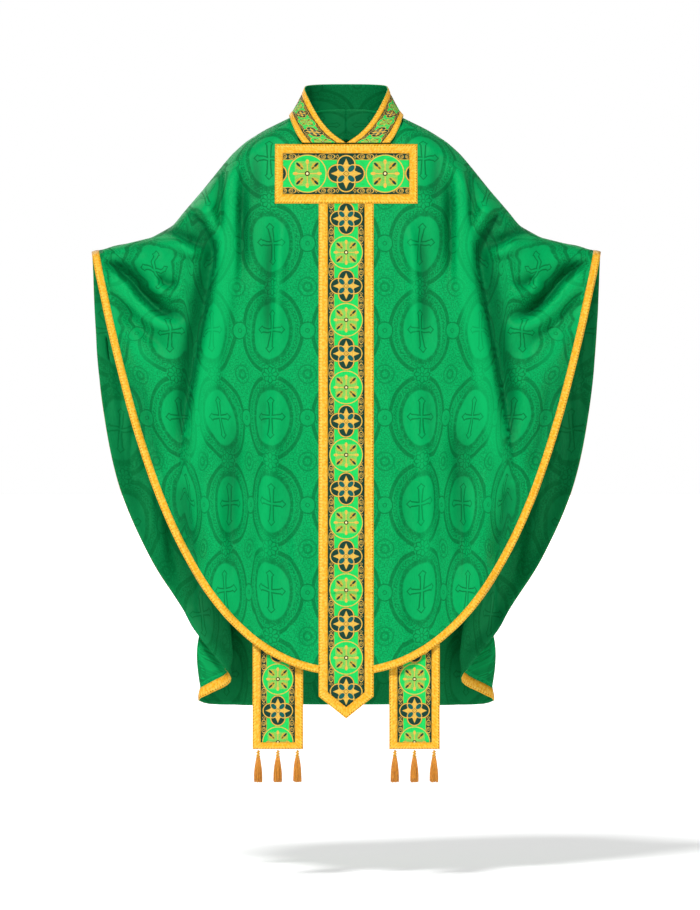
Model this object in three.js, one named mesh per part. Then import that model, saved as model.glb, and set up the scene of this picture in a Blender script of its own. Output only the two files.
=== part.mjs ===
import * as THREE from "three";

// A gothic chasuble as it hangs on a wearer with both arms held out, with its matching stole.
// Millimetres. +Z is up, +X is the wearer's left, the front faces -Y. The origin is the centre of
// the neck at the height where the shoulders meet it.

// Driving dimensions
const WRIST = [538, -281]; // outer end of the shoulder line: half width and height
const FRONT_HEM = [WRIST, [465, -626], [355, -1171], [0, -1171]]; // a Bezier curve to the middle
const BACK_HEM = [WRIST, [532, -430], [517, -603], [481, -779], [416, -930], [335, -1062], [308, -1130],
  [313, -1190], [296, -1234], [240, -1243], [120, -1243], [0, -1243]]; // a little longer, with full corners
const FOLD_Z = -363; // height at which front and back start to swing below the arms
const CLOTH = 2.2, // damask with its interlining
  LINING = 1.0,
  SEAM = 1.6; // half the gap along the shoulder seam
const BAR = { half: 149.5, top: -57, low: -183, side: 17, edge: 19.5 }; // crossbar of the T orphrey
const COLUMN = { half: 57.5, band: 38.5 }; // central column and the band inside its galloon
const TIP = { sides: -1215, point: -1261, galloon: 24.3 };
const HEM_GALLOON = 16;
const BESIDE = COLUMN.half + 0.7; // half width at which the hem galloons start, clear of the column
const GAP = 1.5; // half the slit in the model where front or back bends
const BAND_THICK = 1.2, GALLOON_THICK = 1.7, HEM_THICK = 1.4; // woven trims
const SPREAD = 18; // how much further the cloth stands from the body at the hem than at FOLD_Z
const STOLE = { x: 143, half: 52.8, band: 35.8, low: -1325.5, hinge: -1172, y: -152, foot: 14,
  thick: 1.2, on: 1.7 }; // thick is half its thickness, and its trims start at on from its middle
const TASSELS = [-41, 0, 41]; // across each stole end, from its middle

const green = { color: 0x0f8a4a, roughness: 0.75 };
const SLOTS = {
  damask: green,
  lining: { color: 0x0c6f3c, roughness: 0.85 },
  orphrey: { color: 0x2bc766, roughness: 0.6 },
  galloon: { color: 0xe8b02c, roughness: 0.5, metalness: 0.1 },
  tassel: { color: 0xd98f1c, roughness: 0.6 },
};
const root = new THREE.Group();

// small helpers
const clamp = (v, a, b) => Math.min(b, Math.max(a, v));
const smooth = (a, b, v) => {
  const t = clamp((v - a) / (b - a), 0, 1);
  return t * t * (3 - 2 * t);
};
const along = (table, v) => {
  // straight lines between [key, value] pairs, carried on past both ends
  let i = 1;
  while (i < table.length - 1 && v > table[i][0]) i++;
  const [[a, p], [b, q]] = [table[i - 1], table[i]];
  return p + ((q - p) * (v - a)) / (b - a);
};
const vec = (x, y, z) => new THREE.Vector3(x, y, z);

// Line of the shoulders and arms, as half width and height
const ridge = (x) =>
  along(
    [[121, 2], [172, -23], [212, -48], [262, -99], [302, -149], [346, -200],
      [365, -225], [410, -250], [512, -275], WRIST],
    Math.abs(x),
  );
const frontBody = (z) =>
  along([[-363, 146], [-270, 140], [-182, 128], [-119, 112], [-56, 88], [2, 60]], z);
const frontSkirt = (z) => 146 + (SPREAD * (FOLD_Z - z)) / (FOLD_Z - FRONT_HEM.at(-1)[1]);
const backBody = (z) =>
  along([[-363, 150], [-270, 144], [-182, 134], [-119, 124], [-56, 112], [9, 90]], z);
const backSkirt = (z) => 150 + (SPREAD * (FOLD_Z - z)) / (FOLD_Z - BACK_HEM.at(-1)[1]);

// How far the cloth stands from the shoulder line, forward or back, at x and z
function reach(x, z, body) {
  const ax = Math.abs(x), below = Math.max(0, ridge(ax) - z);
  const roll = ax < 300 ? 43 + 27 * smooth(150, 300, ax) : 70 - 20 * smooth(300, 538, ax);
  const t = clamp(1 - below / roll, 0, 1);
  const arm = 62 - 18 * smooth(300, 538, ax) + 0.05 * below;
  const w = smooth(150, 538, ax);
  return Math.sqrt(1 - t * t) * (body * (1 - w) + arm * w) + SEAM;
}
const frontY = (x, z) => -reach(x, z, z > FOLD_Z ? frontBody(z) : frontSkirt(z));
const backY = (x, z) => reach(x, z, z > FOLD_Z ? backBody(z) : backSkirt(z));

// A hem curve as points from the wrist to the middle
function hemLine(curve) {
  const points = curve.getPoints(300).map((p) => [p.x, p.y]);
  let length = 0;
  const run = points.map((p, i) => {
    if (i) length += Math.hypot(p[0] - points[i - 1][0], p[1] - points[i - 1][1]);
    return length;
  });
  const at = (s) => {
    let i = 1;
    while (i < run.length - 1 && run[i] < s) i++;
    const t = (s - run[i - 1]) / (run[i] - run[i - 1]);
    return [0, 1].map((k) => points[i - 1][k] + t * (points[i][k] - points[i - 1][k]));
  };
  const whereX = (x) => {
    // length along the line at a given half width
    let i = points.findIndex((p) => p[0] <= x);
    return run[i < 0 ? run.length - 1 : i];
  };
  const whereZ = (z) => run[Math.max(0, points.findIndex((p) => p[1] <= z))];
  const xAt = (z) => (z > WRIST[1] ? WRIST[0] : at(whereZ(z))[0]);
  return { at, whereX, whereZ, xAt, length };
}
const hem = {
  front: hemLine(new THREE.CubicBezierCurve(...FRONT_HEM.map((p) => new THREE.Vector2(...p)))),
  back: hemLine(new THREE.CatmullRomCurve3(BACK_HEM.map(([x, z]) => vec(x, z, 0)))),
};

// Facing direction at each point of a grid, from the faces round it
function normals(grid, out) {
  const face = (r, c) => {
    const d1 = grid[r + 1][c + 1].clone().sub(grid[r][c]);
    const d2 = grid[r + 1][c].clone().sub(grid[r][c + 1]);
    const n = d1.cross(d2).normalize();
    const middle = grid[r][c].clone().add(grid[r + 1][c + 1]).multiplyScalar(0.5);
    return n.dot(out(middle)) < 0 ? n.negate() : n;
  };
  const rows = grid.length, cols = grid[0].length;
  return grid.map((line, r) =>
    line.map((_, c) => {
      const n = vec(0, 0, 0);
      for (const i of [r - 1, r])
        for (const j of [c - 1, c])
          if (i >= 0 && j >= 0 && i < rows - 1 && j < cols - 1) n.add(face(i, j));
      return n.normalize();
    }),
  );
}

// One closed sheet between two offsets of a grid, over the cells that mask allows
function sheet(name, slot, grid, out, low, high, mask = () => true) {
  const n = normals(grid, out), rows = grid.length, cols = grid[0].length;
  const layer = (o) => grid.map((line, r) => line.map((p, c) => p.clone().addScaledVector(n[r][c], o)));
  const a = layer(high), b = layer(low), triangles = [];
  const has = (r, c) => r >= 0 && c >= 0 && r < rows - 1 && c < cols - 1 && mask(r, c);
  const quad = (p, q, s, t) => triangles.push(p, q, s, p, s, t);
  for (let r = 0; r < rows - 1; r++)
    for (let c = 0; c < cols - 1; c++) {
      if (!has(r, c)) continue;
      quad(a[r][c], a[r + 1][c], a[r + 1][c + 1], a[r][c + 1]);
      quad(b[r][c], b[r][c + 1], b[r + 1][c + 1], b[r + 1][c]);
      if (!has(r - 1, c)) quad(a[r][c], a[r][c + 1], b[r][c + 1], b[r][c]);
      if (!has(r + 1, c)) quad(a[r + 1][c + 1], a[r + 1][c], b[r + 1][c], b[r + 1][c + 1]);
      if (!has(r, c - 1)) quad(a[r + 1][c], a[r][c], b[r][c], b[r + 1][c]);
      if (!has(r, c + 1)) quad(a[r][c + 1], a[r + 1][c + 1], b[r + 1][c + 1], b[r][c + 1]);
    }
  add(name, slot, solid(triangles));
}

function solid(triangles) {
  let volume = 0;
  for (let i = 0; i < triangles.length; i += 3)
    volume += triangles[i].dot(triangles[i + 1].clone().cross(triangles[i + 2]));
  if (volume < 0)
    for (let i = 0; i < triangles.length; i += 3)
      [triangles[i + 1], triangles[i + 2]] = [triangles[i + 2], triangles[i + 1]];
  const g = new THREE.BufferGeometry();
  g.setAttribute("position", new THREE.Float32BufferAttribute(triangles.flatMap((p) => p.toArray()), 3));
  g.computeVertexNormals();
  return g;
}

function add(name, slot, geometry) {
  const mesh = new THREE.Mesh(geometry, new THREE.MeshStandardMaterial(SLOTS[slot]));
  mesh.name = name;
  root.add(mesh);
}

// Mirror a list of half-width stations to both sides
const both = (list) => [...list.slice(1).reverse().map((v) => -v), ...list];

// The panels
const ACROSS = [0, 50, 95, 106, 115, 121, BAR.half, 180, 212, 245, 281, 320, 365, 410, 452, 495, WRIST[0]];
const forward = () => vec(0, -1, 0.2), backward = () => vec(0, 1, 0.2);

// Neck edge of the cloth at half width x, front or back, just clear of the collar
function neckEdge(side, x) {
  const ax = Math.abs(x), flip = Math.sign(x) || 1;
  if (side === "front") {
    const z = along([[95, -57], [106, -42], [115, -21], [121, 2]], Math.max(ax, 95));
    return vec(x, frontY(x, z), z);
  }
  const [nx, y, z] = {
    0: [0, 91, 9], 50: [48, 84, 8.5], 95: [88, 63, 7.5],
    106: [104, 44, 6.5], 115: [116, 22, 4.5], 121: [121, SEAM, 2],
  }[ax];
  return vec(nx * flip, y, z);
}

function yoke(side) {
  const isFront = side === "front", y = isFront ? frontY : backY, foot = FOLD_Z + GAP;
  const low = isFront ? -66 : -56;
  return [0, 1, 2, 3, 4, 5].map((r) =>
    both(ACROSS).map((x) => {
      const ax = Math.abs(x), top = ax > 121 ? ridge(ax) : 0;
      if (r === 0) return ax > 121 ? vec(x, y(x, top), top) : neckEdge(side, x);
      let z = [0, ax <= 95 ? low : -56, -119, -182, -270, foot][r];
      if (ax > BAR.half) z = top + [0, 0.1, 0.25, 0.45, 0.7, 1][r] * (foot - top);
      const wide = (hem[side].xAt(z) - BAR.half) / (WRIST[0] - BAR.half);
      const px = ax > BAR.half ? Math.sign(x) * (BAR.half + (ax - BAR.half) * wide) : x;
      return vec(px, y(px, z), z);
    }),
  );
}

function skirt(side) {
  const y = side === "front" ? frontY : backY, line = hem[side], top = FOLD_Z - GAP;
  const from = line.whereX(BAR.half), to = line.whereZ(-382);
  const wide = (line.xAt(top) - BAR.half) / (WRIST[0] - BAR.half);
  return [0, 0.2, 0.44, 0.7, 1].map((f) =>
    both(ACROSS).map((x) => {
      const ax = Math.abs(x), sign = Math.sign(x) || 1;
      let head = [ax, top], foot = line.at(line.whereX(Math.max(ax, 0.01)));
      if (ax > BAR.half) {
        const share = (ax - BAR.half) / (WRIST[0] - BAR.half);
        head = [BAR.half + (ax - BAR.half) * wide, top];
        foot = line.at(from + (to - from) * share);
      } else foot[0] = ax;
      const [px, z] = [0, 1].map((k) => head[k] + f * (foot[k] - head[k]));
      return vec(sign * px, y(px, z), z);
    }),
  );
}

for (const [side, out] of [["front", forward], ["back", backward]]) {
  for (const [part, grid] of [["yoke", yoke(side)], ["skirt", skirt(side)]]) {
    sheet(`${side}_${part}`, "damask", grid, out, 0, CLOTH);
    sheet(`${side}_${part}_lining`, "lining", grid, out, -0.4 - LINING, -0.4);
  }
}

// A flat strip across the middle of the body, following it from one height to another
const ON = CLOTH + 0.5; // trims lie this far out from the cloth's inner face
function plate(name, slot, side, xs, zs, low, high, mask) {
  const body = side === "front" ? [frontBody, frontSkirt, -1] : [backBody, backSkirt, 1];
  const kinks = [-119, -182, -270].filter((z) => z < zs[0] - 1 && z > zs.at(-1) + 1);
  const rows = [...new Set([...zs, ...kinks])].sort((a, b) => b - a);
  const grid = rows.map((z) =>
    xs.map((x) => vec(x, body[2] * ((z > FOLD_Z ? body[0](z) : body[1](z)) + SEAM), z)));
  const inRow = (r) => zs.filter((z) => z >= rows[r]).length - 1; // which stated interval a row is in
  const out = side === "front" ? forward : backward;
  sheet(name, slot, grid, out, low, high, mask ? (r, c) => mask(inRow(r), c) : undefined);
}

// T orphreys, front and back
for (const side of ["front", "back"]) {
  const h = BAR.half, i = h - BAR.side;
  plate(`${side}_crossbar_band`, "orphrey", side, [-i + 0.3, i - 0.3],
    [BAR.top - BAR.edge - 0.3, BAR.low + BAR.edge + 0.3], ON, ON + BAND_THICK);
  plate(`${side}_crossbar_galloon`, "galloon", side, [-h, -i, i, h],
    [BAR.top, BAR.top - BAR.edge, BAR.low + BAR.edge, BAR.low], ON, ON + GALLOON_THICK,
    (r, c) => !(r === 1 && c === 1));
  const hemZ = side === "front" ? -1170.5 : -1240.5;
  for (const [part, top, low] of [["upper", BAR.low - 0.4, FOLD_Z + GAP], ["lower", FOLD_Z - GAP, hemZ]]) {
    const b = COLUMN.band - 0.3;
    plate(`${side}_column_band_${part}`, "orphrey", side, [-b, b], [top, low], ON, ON + BAND_THICK);
    for (const [hand, s] of [["right", -1], ["left", 1]])
      plate(`${side}_column_galloon_${part}_${hand}`, "galloon", side,
        [s * COLUMN.band, s * COLUMN.half].sort((a, c) => a - c), [top, low], ON, ON + GALLOON_THICK);
  }
}

// The free point of the front column, below the hem
{
  const y = -(frontSkirt(FRONT_HEM.at(-1)[1]) + SEAM), top = STOLE.hinge - GAP;
  const rise = (TIP.sides - TIP.point) / COLUMN.half;
  const xs = [-COLUMN.half, -COLUMN.band, 0, COLUMN.band, COLUMN.half];
  const inner = (x) => TIP.point + TIP.galloon + rise * Math.abs(x);
  const outer = (x) => TIP.point + rise * Math.abs(x);
  const grid = [() => top, inner, outer].map((f) => xs.map((x) => vec(x, y, f(x))));
  sheet("front_point_lining", "lining", grid, forward, 0.6, 2.2);
  sheet("front_point_galloon", "galloon", grid, forward, ON, ON + GALLOON_THICK,
    (r, c) => r === 1 || c === 0 || c === 3);
  const b = COLUMN.band - 0.3;
  const field = [() => top, (x) => inner(x) + 0.4].map((f) => [-b, 0, b].map((x) => vec(x, y, f(x))));
  sheet("front_point_band", "orphrey", field, forward, ON, ON + BAND_THICK);
}

// Galloon along the hems, and round each wrist from front to back
function inset(line, s, by) {
  const p = line.at(s), a = line.at(Math.max(0, s - 2)), b = line.at(Math.min(line.length, s + 2));
  const t = [b[0] - a[0], b[1] - a[1]], l = Math.hypot(...t);
  return [p[0] + (t[1] / l) * by, p[1] - (t[0] / l) * by];
}
for (const [side, out] of [["front", forward], ["back", backward]]) {
  const line = hem[side], y = side === "front" ? frontY : backY;
  const from = line.whereZ(FOLD_Z - 5), to = line.whereX(BESIDE), steps = Math.round((to - from) / 34);
  for (const [hand, sign] of [["right", -1], ["left", 1]]) {
    const grid = [0, HEM_GALLOON].map((by) =>
      Array.from({ length: steps + 1 }, (_, i) => {
        const [x, z] = inset(line, from + ((to - from) * i) / steps, by);
        const px = i === steps ? BESIDE : x;
        return vec(sign * px, y(px, z), z);
      }));
    sheet(`${side}_hem_galloon_${hand}`, "galloon", grid, out, CLOTH + 1.4, CLOTH + 1.4 + HEM_THICK);
  }
}
for (const [hand, sign] of [["right", -1], ["left", 1]]) {
  const heights = [FOLD_Z + 2, -338, -316, -298, -287, WRIST[1]];
  const column = (by) => [
    ...heights.map((z) => [hem.front.xAt(z) - by, z, frontY]),
    ...heights.slice(0, -1).reverse().map((z) => [hem.back.xAt(z) - by, z, backY]),
  ].map(([x, z, y], i) => {
    if (i === heights.length - 1) return vec(sign * x, 0, ridge(x) + 0.4);
    return vec(sign * x, y(x, z), Math.min(z, ridge(x)));
  });
  const out = (p) => vec(0, p.y, 60 + (p.z - WRIST[1]) * 0.8); // up at the top, then forward or back
  sheet(`wrist_galloon_${hand}`, "galloon", [column(0.4), column(HEM_GALLOON)], out,
    CLOTH + 1.8, CLOTH + 1.8 + HEM_THICK);
}

// The collar: stations from the bottom of the V round to the middle of the back, as [base, free edge]
const COLLAR = [
  [[92, -89, -54], [1.2, -90.5, -54]],
  [[103, -83, -38], [30, -86, -33]],
  [[113, -68, -16], [51, -76, -9]],
  [[118, -44, -2], [68.5, -58, 20]],
  [[120, -14, 6], [81, -34, 46]],
  [[118.5, 12, 8.5], [87, -4, 62]],
  [[110, 40, 11], [84, 28, 71]],
  [[84, 68, 12.5], [66, 55, 75]],
  [[43, 87, 13.5], [36, 74, 77]],
  [[0, 93, 14], [0, 80, 77.5]],
];
{
  const shares = [0, 0.2, 0.8, 1];
  const stations = [
    ...COLLAR.slice(0, -1).map((s) => [s, -1]),
    ...[...COLLAR].reverse().map((s) => [s, 1]),
  ];
  const grid = shares.map((f) =>
    stations.map(([[b, e], sign]) =>
      vec(sign * (b[0] + f * (e[0] - b[0])), b[1] + f * (e[1] - b[1]), b[2] + f * (e[2] - b[2]))));
  const out = (p) => vec(p.x * 1.1, p.y + 0.1, 25);
  const half = COLLAR.length - 1;
  const STIFF = 1.2, OFF = 1.6; // half the collar's thickness, and where its trims start
  sheet("collar_stand", "damask", grid, out, -STIFF, STIFF);
  sheet("collar_base_galloon", "galloon", grid, out, OFF, OFF + HEM_THICK, (r) => r === 0);
  sheet("collar_neck_galloon", "galloon", grid, out, OFF, OFF + HEM_THICK, (r) => r === 2);
  const inner = [0.215, 0.785].map((f) =>
    stations.map((_, c) => grid[0][c].clone().lerp(grid[3][c], f)));
  const side = (hand, cols) => {
    const part = inner.map((line) => line.slice(...cols));
    if (hand === "right") part.forEach((line) => line[line.length - 1].setX(-0.4));
    else part.forEach((line) => line[0].setX(0.4));
    sheet(`collar_band_${hand}`, "orphrey", part, out, OFF, OFF + BAND_THICK);
  };
  side("right", [0, half + 1]);
  side("left", [half, 2 * half + 1]);
}

// The stole: a strap under the chasuble on each side, joined at the back of the neck
const STRAP = [
  [[143, -152, -1170], [52.8, 0, 0]],
  [[143, -146, -800], [52.8, 0, 0]],
  [[143, -136, FOLD_Z], [50, 0, 0]],
  [[132, -122, -182], [44, 0, 0]],
  [[118, -91, -90], [40, 0, 0]],
  [[111, -66, -52], [38, 0, -6]],
  [[108, -26, -26], [35, 0, -14]],
  [[106, 14, -18], [33, 3, -17]],
  [[92, 54, -16], [15, 14, -27]],
  [[54, 77, -11], [6, 4, -33]],
  [[0.4, 80, -8], [0, 0, -34]],
];
for (const [hand, sign] of [["right", -1], ["left", 1]]) {
  const name = (part) => `stole_${part}_${hand}`;
  const at = (k, f) => {
    const [c, w] = STRAP[k];
    return vec(sign * (c[0] + f * w[0]), c[1] + f * w[1], c[2] + f * w[2]);
  };
  const strap = [-1, 1].map((f) => STRAP.map((_, k) => at(k, f)));
  const out = (p) => vec(sign * 0.5, p.z < -30 ? -1 : p.y / 80, p.z < -300 ? 0 : 0.8);
  sheet(name("strap"), "lining", strap, out, -STOLE.thick, STOLE.thick);
  const trim = [-1, 1].map((f) => [at(0, f), at(1, f)]);
  sheet(name("orphrey_upper"), "orphrey", trim, forward, STOLE.on, STOLE.on + 1.5);
  const top = STOLE.hinge - 2, mid = sign * STOLE.x;
  const xs = [-STOLE.half, -STOLE.band, STOLE.band, STOLE.half].map((d) => mid + d);
  const grid = [top, STOLE.low + STOLE.foot, STOLE.low].map((z) => xs.map((x) => vec(x, STOLE.y, z)));
  sheet(name("end"), "lining", grid, forward, -STOLE.thick, STOLE.thick);
  sheet(name("end_galloon"), "galloon", grid, forward, STOLE.on, STOLE.on + 1.5, (r, c) => r === 1 || c !== 1);
  const field = [top, STOLE.low + STOLE.foot + 0.3].map((z) =>
    [-1, 1].map((d) => vec(mid + d * (STOLE.band - 0.3), STOLE.y, z)));
  sheet(name("end_band"), "orphrey", field, forward, STOLE.on, STOLE.on + BAND_THICK);

  // a row of tassels, each a corded knot with a skirt of threads
  TASSELS.forEach((dx, i) => {
    const lathe = (profile) =>
      new THREE.LatheGeometry(profile.map(([r, z]) => new THREE.Vector2(r, z)), 12)
        .rotateX(Math.PI / 2)
        .translate(mid + dx, STOLE.y, STOLE.low);
    const knot = [[0, -16.5], [3.6, -16.5], [4.2, -14.5], [5.4, -11.5],
      [4.4, -8], [1.3, -6.5], [1.3, -2.5], [0, -2.5]];
    const threads = [[0, -70], [9.6, -70], [9, -58], [6.6, -26], [4.8, -16.9], [0, -16.9]];
    add(`tassel_${hand}_${i + 1}_knot`, "tassel", lathe(knot));
    add(`tassel_${hand}_${i + 1}_skirt`, "tassel", lathe(threads));
  });
}

export default root;
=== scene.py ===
"""Green damask gothic chasuble with its T orphreys, shawl collar and matching stole."""

import math
import bmesh
import bpy
import numpy as np
from bpy.props import FloatProperty, FloatVectorProperty, PointerProperty
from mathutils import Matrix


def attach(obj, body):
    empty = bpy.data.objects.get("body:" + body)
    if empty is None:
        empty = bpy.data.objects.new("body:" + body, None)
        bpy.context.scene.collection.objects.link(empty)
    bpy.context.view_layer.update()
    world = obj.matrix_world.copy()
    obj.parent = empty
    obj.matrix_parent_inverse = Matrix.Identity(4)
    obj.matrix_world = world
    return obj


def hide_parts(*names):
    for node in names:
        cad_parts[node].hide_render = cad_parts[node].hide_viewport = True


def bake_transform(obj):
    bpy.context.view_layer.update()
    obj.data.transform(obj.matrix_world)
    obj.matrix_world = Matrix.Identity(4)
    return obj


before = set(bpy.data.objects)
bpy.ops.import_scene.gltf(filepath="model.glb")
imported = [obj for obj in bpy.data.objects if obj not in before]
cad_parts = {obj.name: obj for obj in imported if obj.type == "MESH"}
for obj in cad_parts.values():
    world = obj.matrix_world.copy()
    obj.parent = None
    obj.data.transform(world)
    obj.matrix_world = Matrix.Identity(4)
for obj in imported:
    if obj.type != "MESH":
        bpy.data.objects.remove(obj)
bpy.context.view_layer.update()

bl_info = {
    "name": "Chasuble",
    "version": (1, 0, 0),
    "blender": (4, 5, 0),
    "location": "View3D > Sidebar > Chasuble",
    "description": "Builds a draped chasuble with its orphreys, galloons, stole and tassels",
    "category": "Add Mesh",
}

# ---------------------------------------------------------------- sizes

SHOULDERS, FRONT, BACK, POINT = "shoulders", "front_hanging", "back_hanging", "front_point"
MM = 1000.0  # millimetres in a metre
WRIST = (0.538, -0.281)  # half width and height of the end of the shoulder line
NECK_SIDE, SLEEVE_TOP = 0.121, 0.514  # half widths where the shoulder begins, and where the last thread comes down
FORWARD = np.array([0, -1.0, 0])
BAR_HALF, BAR_TOP, BAR_LOW = 0.1495, -0.057, -0.183
COLUMN_HALF, BAND_HALF = 0.0575, 0.0385
HEM_START = 0.0579  # the hem galloon begins beside the column
TIP_SIDES, TIP_POINT = -1.215, -1.261
CLOTH_OUT, LINING_GAP = 0.0036, 0.0002  # from the body to the outer face of the cloth, and from cloth to lining
FRONT_SPLIT = -1.0  # the column is cut here, between its two joints
FRONT_FOLD, POINT_FOLD, STOLE_FOLD = -0.363, -1.172, -1.172
BACK_END = -1.2405  # lower end of the back column
BAND_ACROSS = np.linspace(-BAND_HALF + 0.0002, BAND_HALF - 0.0002, 13)
BAND_LOW, BRAID_OFF = 0.9, 0.0002  # a band's height beside a galloon's, and the gap under both
FIGURE_STEP, FIRST_FIGURE, BAR_FIGURE = 0.0707, -0.215, 0.866  # of the orphrey: pitch, first middle, share on the bar
EDGE = (0.024, 0.016, 0.0107, 0.0053, 0.0)  # rows of the cloth beside the hem, from the hem inwards
PATTERN_ROW = -0.63  # a row of the damask's ovals is centred at this height
# Cloth taken up in tucks that run down the panel: from and to, across, from and to, down, and how much
TUCKS = [(0.165, 0.235, -0.3, -0.82, 0.06), (0.29, 0.34, -0.22, -0.45, 0.055), (0.24, 0.285, -0.08, -0.3, 0.02)]
SIDES = (("right", -1), ("left", 1))


# ---------------------------------------------------------------- small helpers


def smooth(a, b, v):
    t = np.clip((np.asarray(v, float) - a) / (b - a), 0, 1)
    return t * t * (3 - 2 * t)


class SoftLine:
    """Straight lines between stated points, rounded off over a given distance."""

    def __init__(self, pairs, soften):
        keys, values = np.array(sorted(pairs), float).T
        step = soften / 4
        self.keys = np.arange(keys[0] - 6 * soften, keys[-1] + 6 * soften, step)
        line = np.interp(self.keys, keys, values)
        low, high = self.keys < keys[0], self.keys > keys[-1]
        line[low] += (self.keys[low] - keys[0]) * (values[1] - values[0]) / (keys[1] - keys[0])
        line[high] += (self.keys[high] - keys[-1]) * (values[-1] - values[-2]) / (keys[-1] - keys[-2])
        reach = np.arange(-12, 13) * step
        weight = np.exp(-((reach / soften) ** 2))
        self.values = np.convolve(np.pad(line, 12, mode="reflect", reflect_type="odd"), weight / weight.sum(), "valid")

    def __call__(self, key):
        return np.interp(key, self.keys, self.values)


def spline(points, count):
    """Count points along a smooth curve through the given points."""
    p = np.array(points, float)
    p = np.vstack([2 * p[0] - p[1], p, 2 * p[-1] - p[-2]])
    t = np.concatenate([[0], np.cumsum(np.linalg.norm(np.diff(p, axis=0), axis=1) ** 0.5)])
    fine = []
    for i in range(1, len(p) - 2):
        t0, t1, t2, t3 = t[i - 1 : i + 3]
        s = np.linspace(t1, t2, 24, endpoint=i == len(p) - 3)[:, None]
        a1 = (t1 - s) / (t1 - t0) * p[i - 1] + (s - t0) / (t1 - t0) * p[i]
        a2 = (t2 - s) / (t2 - t1) * p[i] + (s - t1) / (t2 - t1) * p[i + 1]
        a3 = (t3 - s) / (t3 - t2) * p[i + 1] + (s - t2) / (t3 - t2) * p[i + 2]
        b1 = (t2 - s) / (t2 - t0) * a1 + (s - t0) / (t2 - t0) * a2
        b2 = (t3 - s) / (t3 - t1) * a2 + (s - t1) / (t3 - t1) * a3
        fine.append((t2 - s) / (t2 - t1) * b1 + (s - t1) / (t2 - t1) * b2)
    return resample(np.vstack(fine), count)


def resample(line, count):
    """The line as count points spaced evenly along it."""
    run = lengths(line)
    return taken_at(np.linspace(0, run[-1], count), run, line)


def lengths(line):
    """Length along a line up to each of its points."""
    return np.concatenate([[0], np.cumsum(np.linalg.norm(np.diff(line, axis=0), axis=1))])


def taken_at(keys, run, line):
    """The line's values at each key, where run holds the key of each of its points."""
    return np.stack([np.interp(keys, run, line[:, k]) for k in range(line.shape[1])], -1)


def unit(vectors):
    return vectors / np.linalg.norm(vectors, axis=-1, keepdims=True)


def blended(first, last, share):
    """Rows of points that go from the first line to the last."""
    return first * (1 - share) + last * share


# ---------------------------------------------------------------- the drape

RIDGE = SoftLine(
    [(0, 0.06), (NECK_SIDE, 0.002), (0.172, -0.023), (0.212, -0.048), (0.241, -0.074), (0.262, -0.099),
     (0.302, -0.149), (0.346, -0.2), (0.365, -0.225), (0.41, -0.25), (0.512, -0.275), WRIST], 0.008)
FRONT_BODY = SoftLine([(-1.171, 0.164), (-0.363, 0.146), (-0.27, 0.14), (-0.182, 0.128),
                       (-0.119, 0.112), (-0.056, 0.088), (0.002, 0.06)], 0.02)
BACK_BODY = SoftLine([(-1.243, 0.168), (-0.363, 0.15), (-0.27, 0.144), (-0.182, 0.134),
                      (-0.119, 0.124), (-0.056, 0.112), (0.009, 0.09)], 0.02)


def reach(x, z, body):
    """How far smooth cloth stands from the shoulder line at x and z."""
    ax, below = np.abs(x), np.maximum(0, RIDGE(np.abs(x)) - z)
    roll = 0.043 + 0.027 * smooth(0.15, 0.3, ax) - 0.02 * smooth(0.3, WRIST[0], ax)
    t = np.clip(1 - below / roll, 0, 1)
    arm = 0.062 - 0.018 * smooth(0.3, WRIST[0], ax) + 0.05 * below
    w = smooth(0.15, WRIST[0], ax)
    return np.sqrt(np.maximum(0, 1 - t * t)) * (body(z) * (1 - w) + arm * w + CLOTH_OUT)


# Each fold: points of its line as half width and height, depth, width, and the height of the roll beside it,
# as a share of the depth. A negative roll lies on the other side
FRONT_FOLDS = [
    ([(0.255, -0.19), (0.267, -0.25), (0.286, -0.345), (0.3, -0.422), (0.323, -0.542), (0.342, -0.668),
      (0.35, -0.8)], 0.044, 0.016, 0.8),
    ([(0.345, -0.74), (0.33, -0.85), (0.3, -0.98)], 0.018, 0.024, 0.5),
    ([(0.256, -0.085), (0.259, -0.16), (0.264, -0.27)], 0.024, 0.009, 0.7),
    ([(0.217, -0.09), (0.22, -0.2), (0.224, -0.37)], 0.028, 0.013, -0.8),
    ([(0.2, -0.06), (0.19, -0.12), (0.185, -0.2)], 0.014, 0.016, -0.4),
    ([(0.15, -0.2), (0.157, -0.3), (0.161, -0.4), (0.16, -0.52)], 0.024, 0.009, 0.6),
    ([(0.163, -0.48), (0.17, -0.62), (0.19, -0.8), (0.2, -1.1)], 0.014, 0.014, 0.7),
    ([(0.225, -0.6), (0.236, -0.8), (0.24, -1.02)], 0.016, 0.02, 0.5),
    ([(0.11, -0.5), (0.12, -0.75), (0.118, -1.05)], 0.008, 0.018, 0.5),
    ([(0.525, -0.29), (0.49, -0.312), (0.458, -0.338), (0.422, -0.38), (0.38, -0.414), (0.32, -0.425)],
     0.036, 0.012, -0.8),
    ([(0.5, -0.36), (0.455, -0.42), (0.4, -0.47), (0.34, -0.5)], 0.012, 0.02, -0.6),
    ([(0.415, -0.237), (0.363, -0.244), (0.317, -0.266), (0.28, -0.27)], 0.026, 0.01, -0.8),
    ([(0.4, -0.33), (0.375, -0.352), (0.345, -0.345)], 0.016, 0.01, -0.6),
    ([(0.345, -0.185), (0.312, -0.212), (0.285, -0.262), (0.276, -0.33)], 0.024, 0.012, 0.8),
    ([(0.44, -0.5), (0.415, -0.64), (0.375, -0.8)], 0.014, 0.026, 0.5),
    ([(0.49, -0.42), (0.47, -0.5), (0.44, -0.62)], 0.01, 0.02, 0.5),
]
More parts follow.
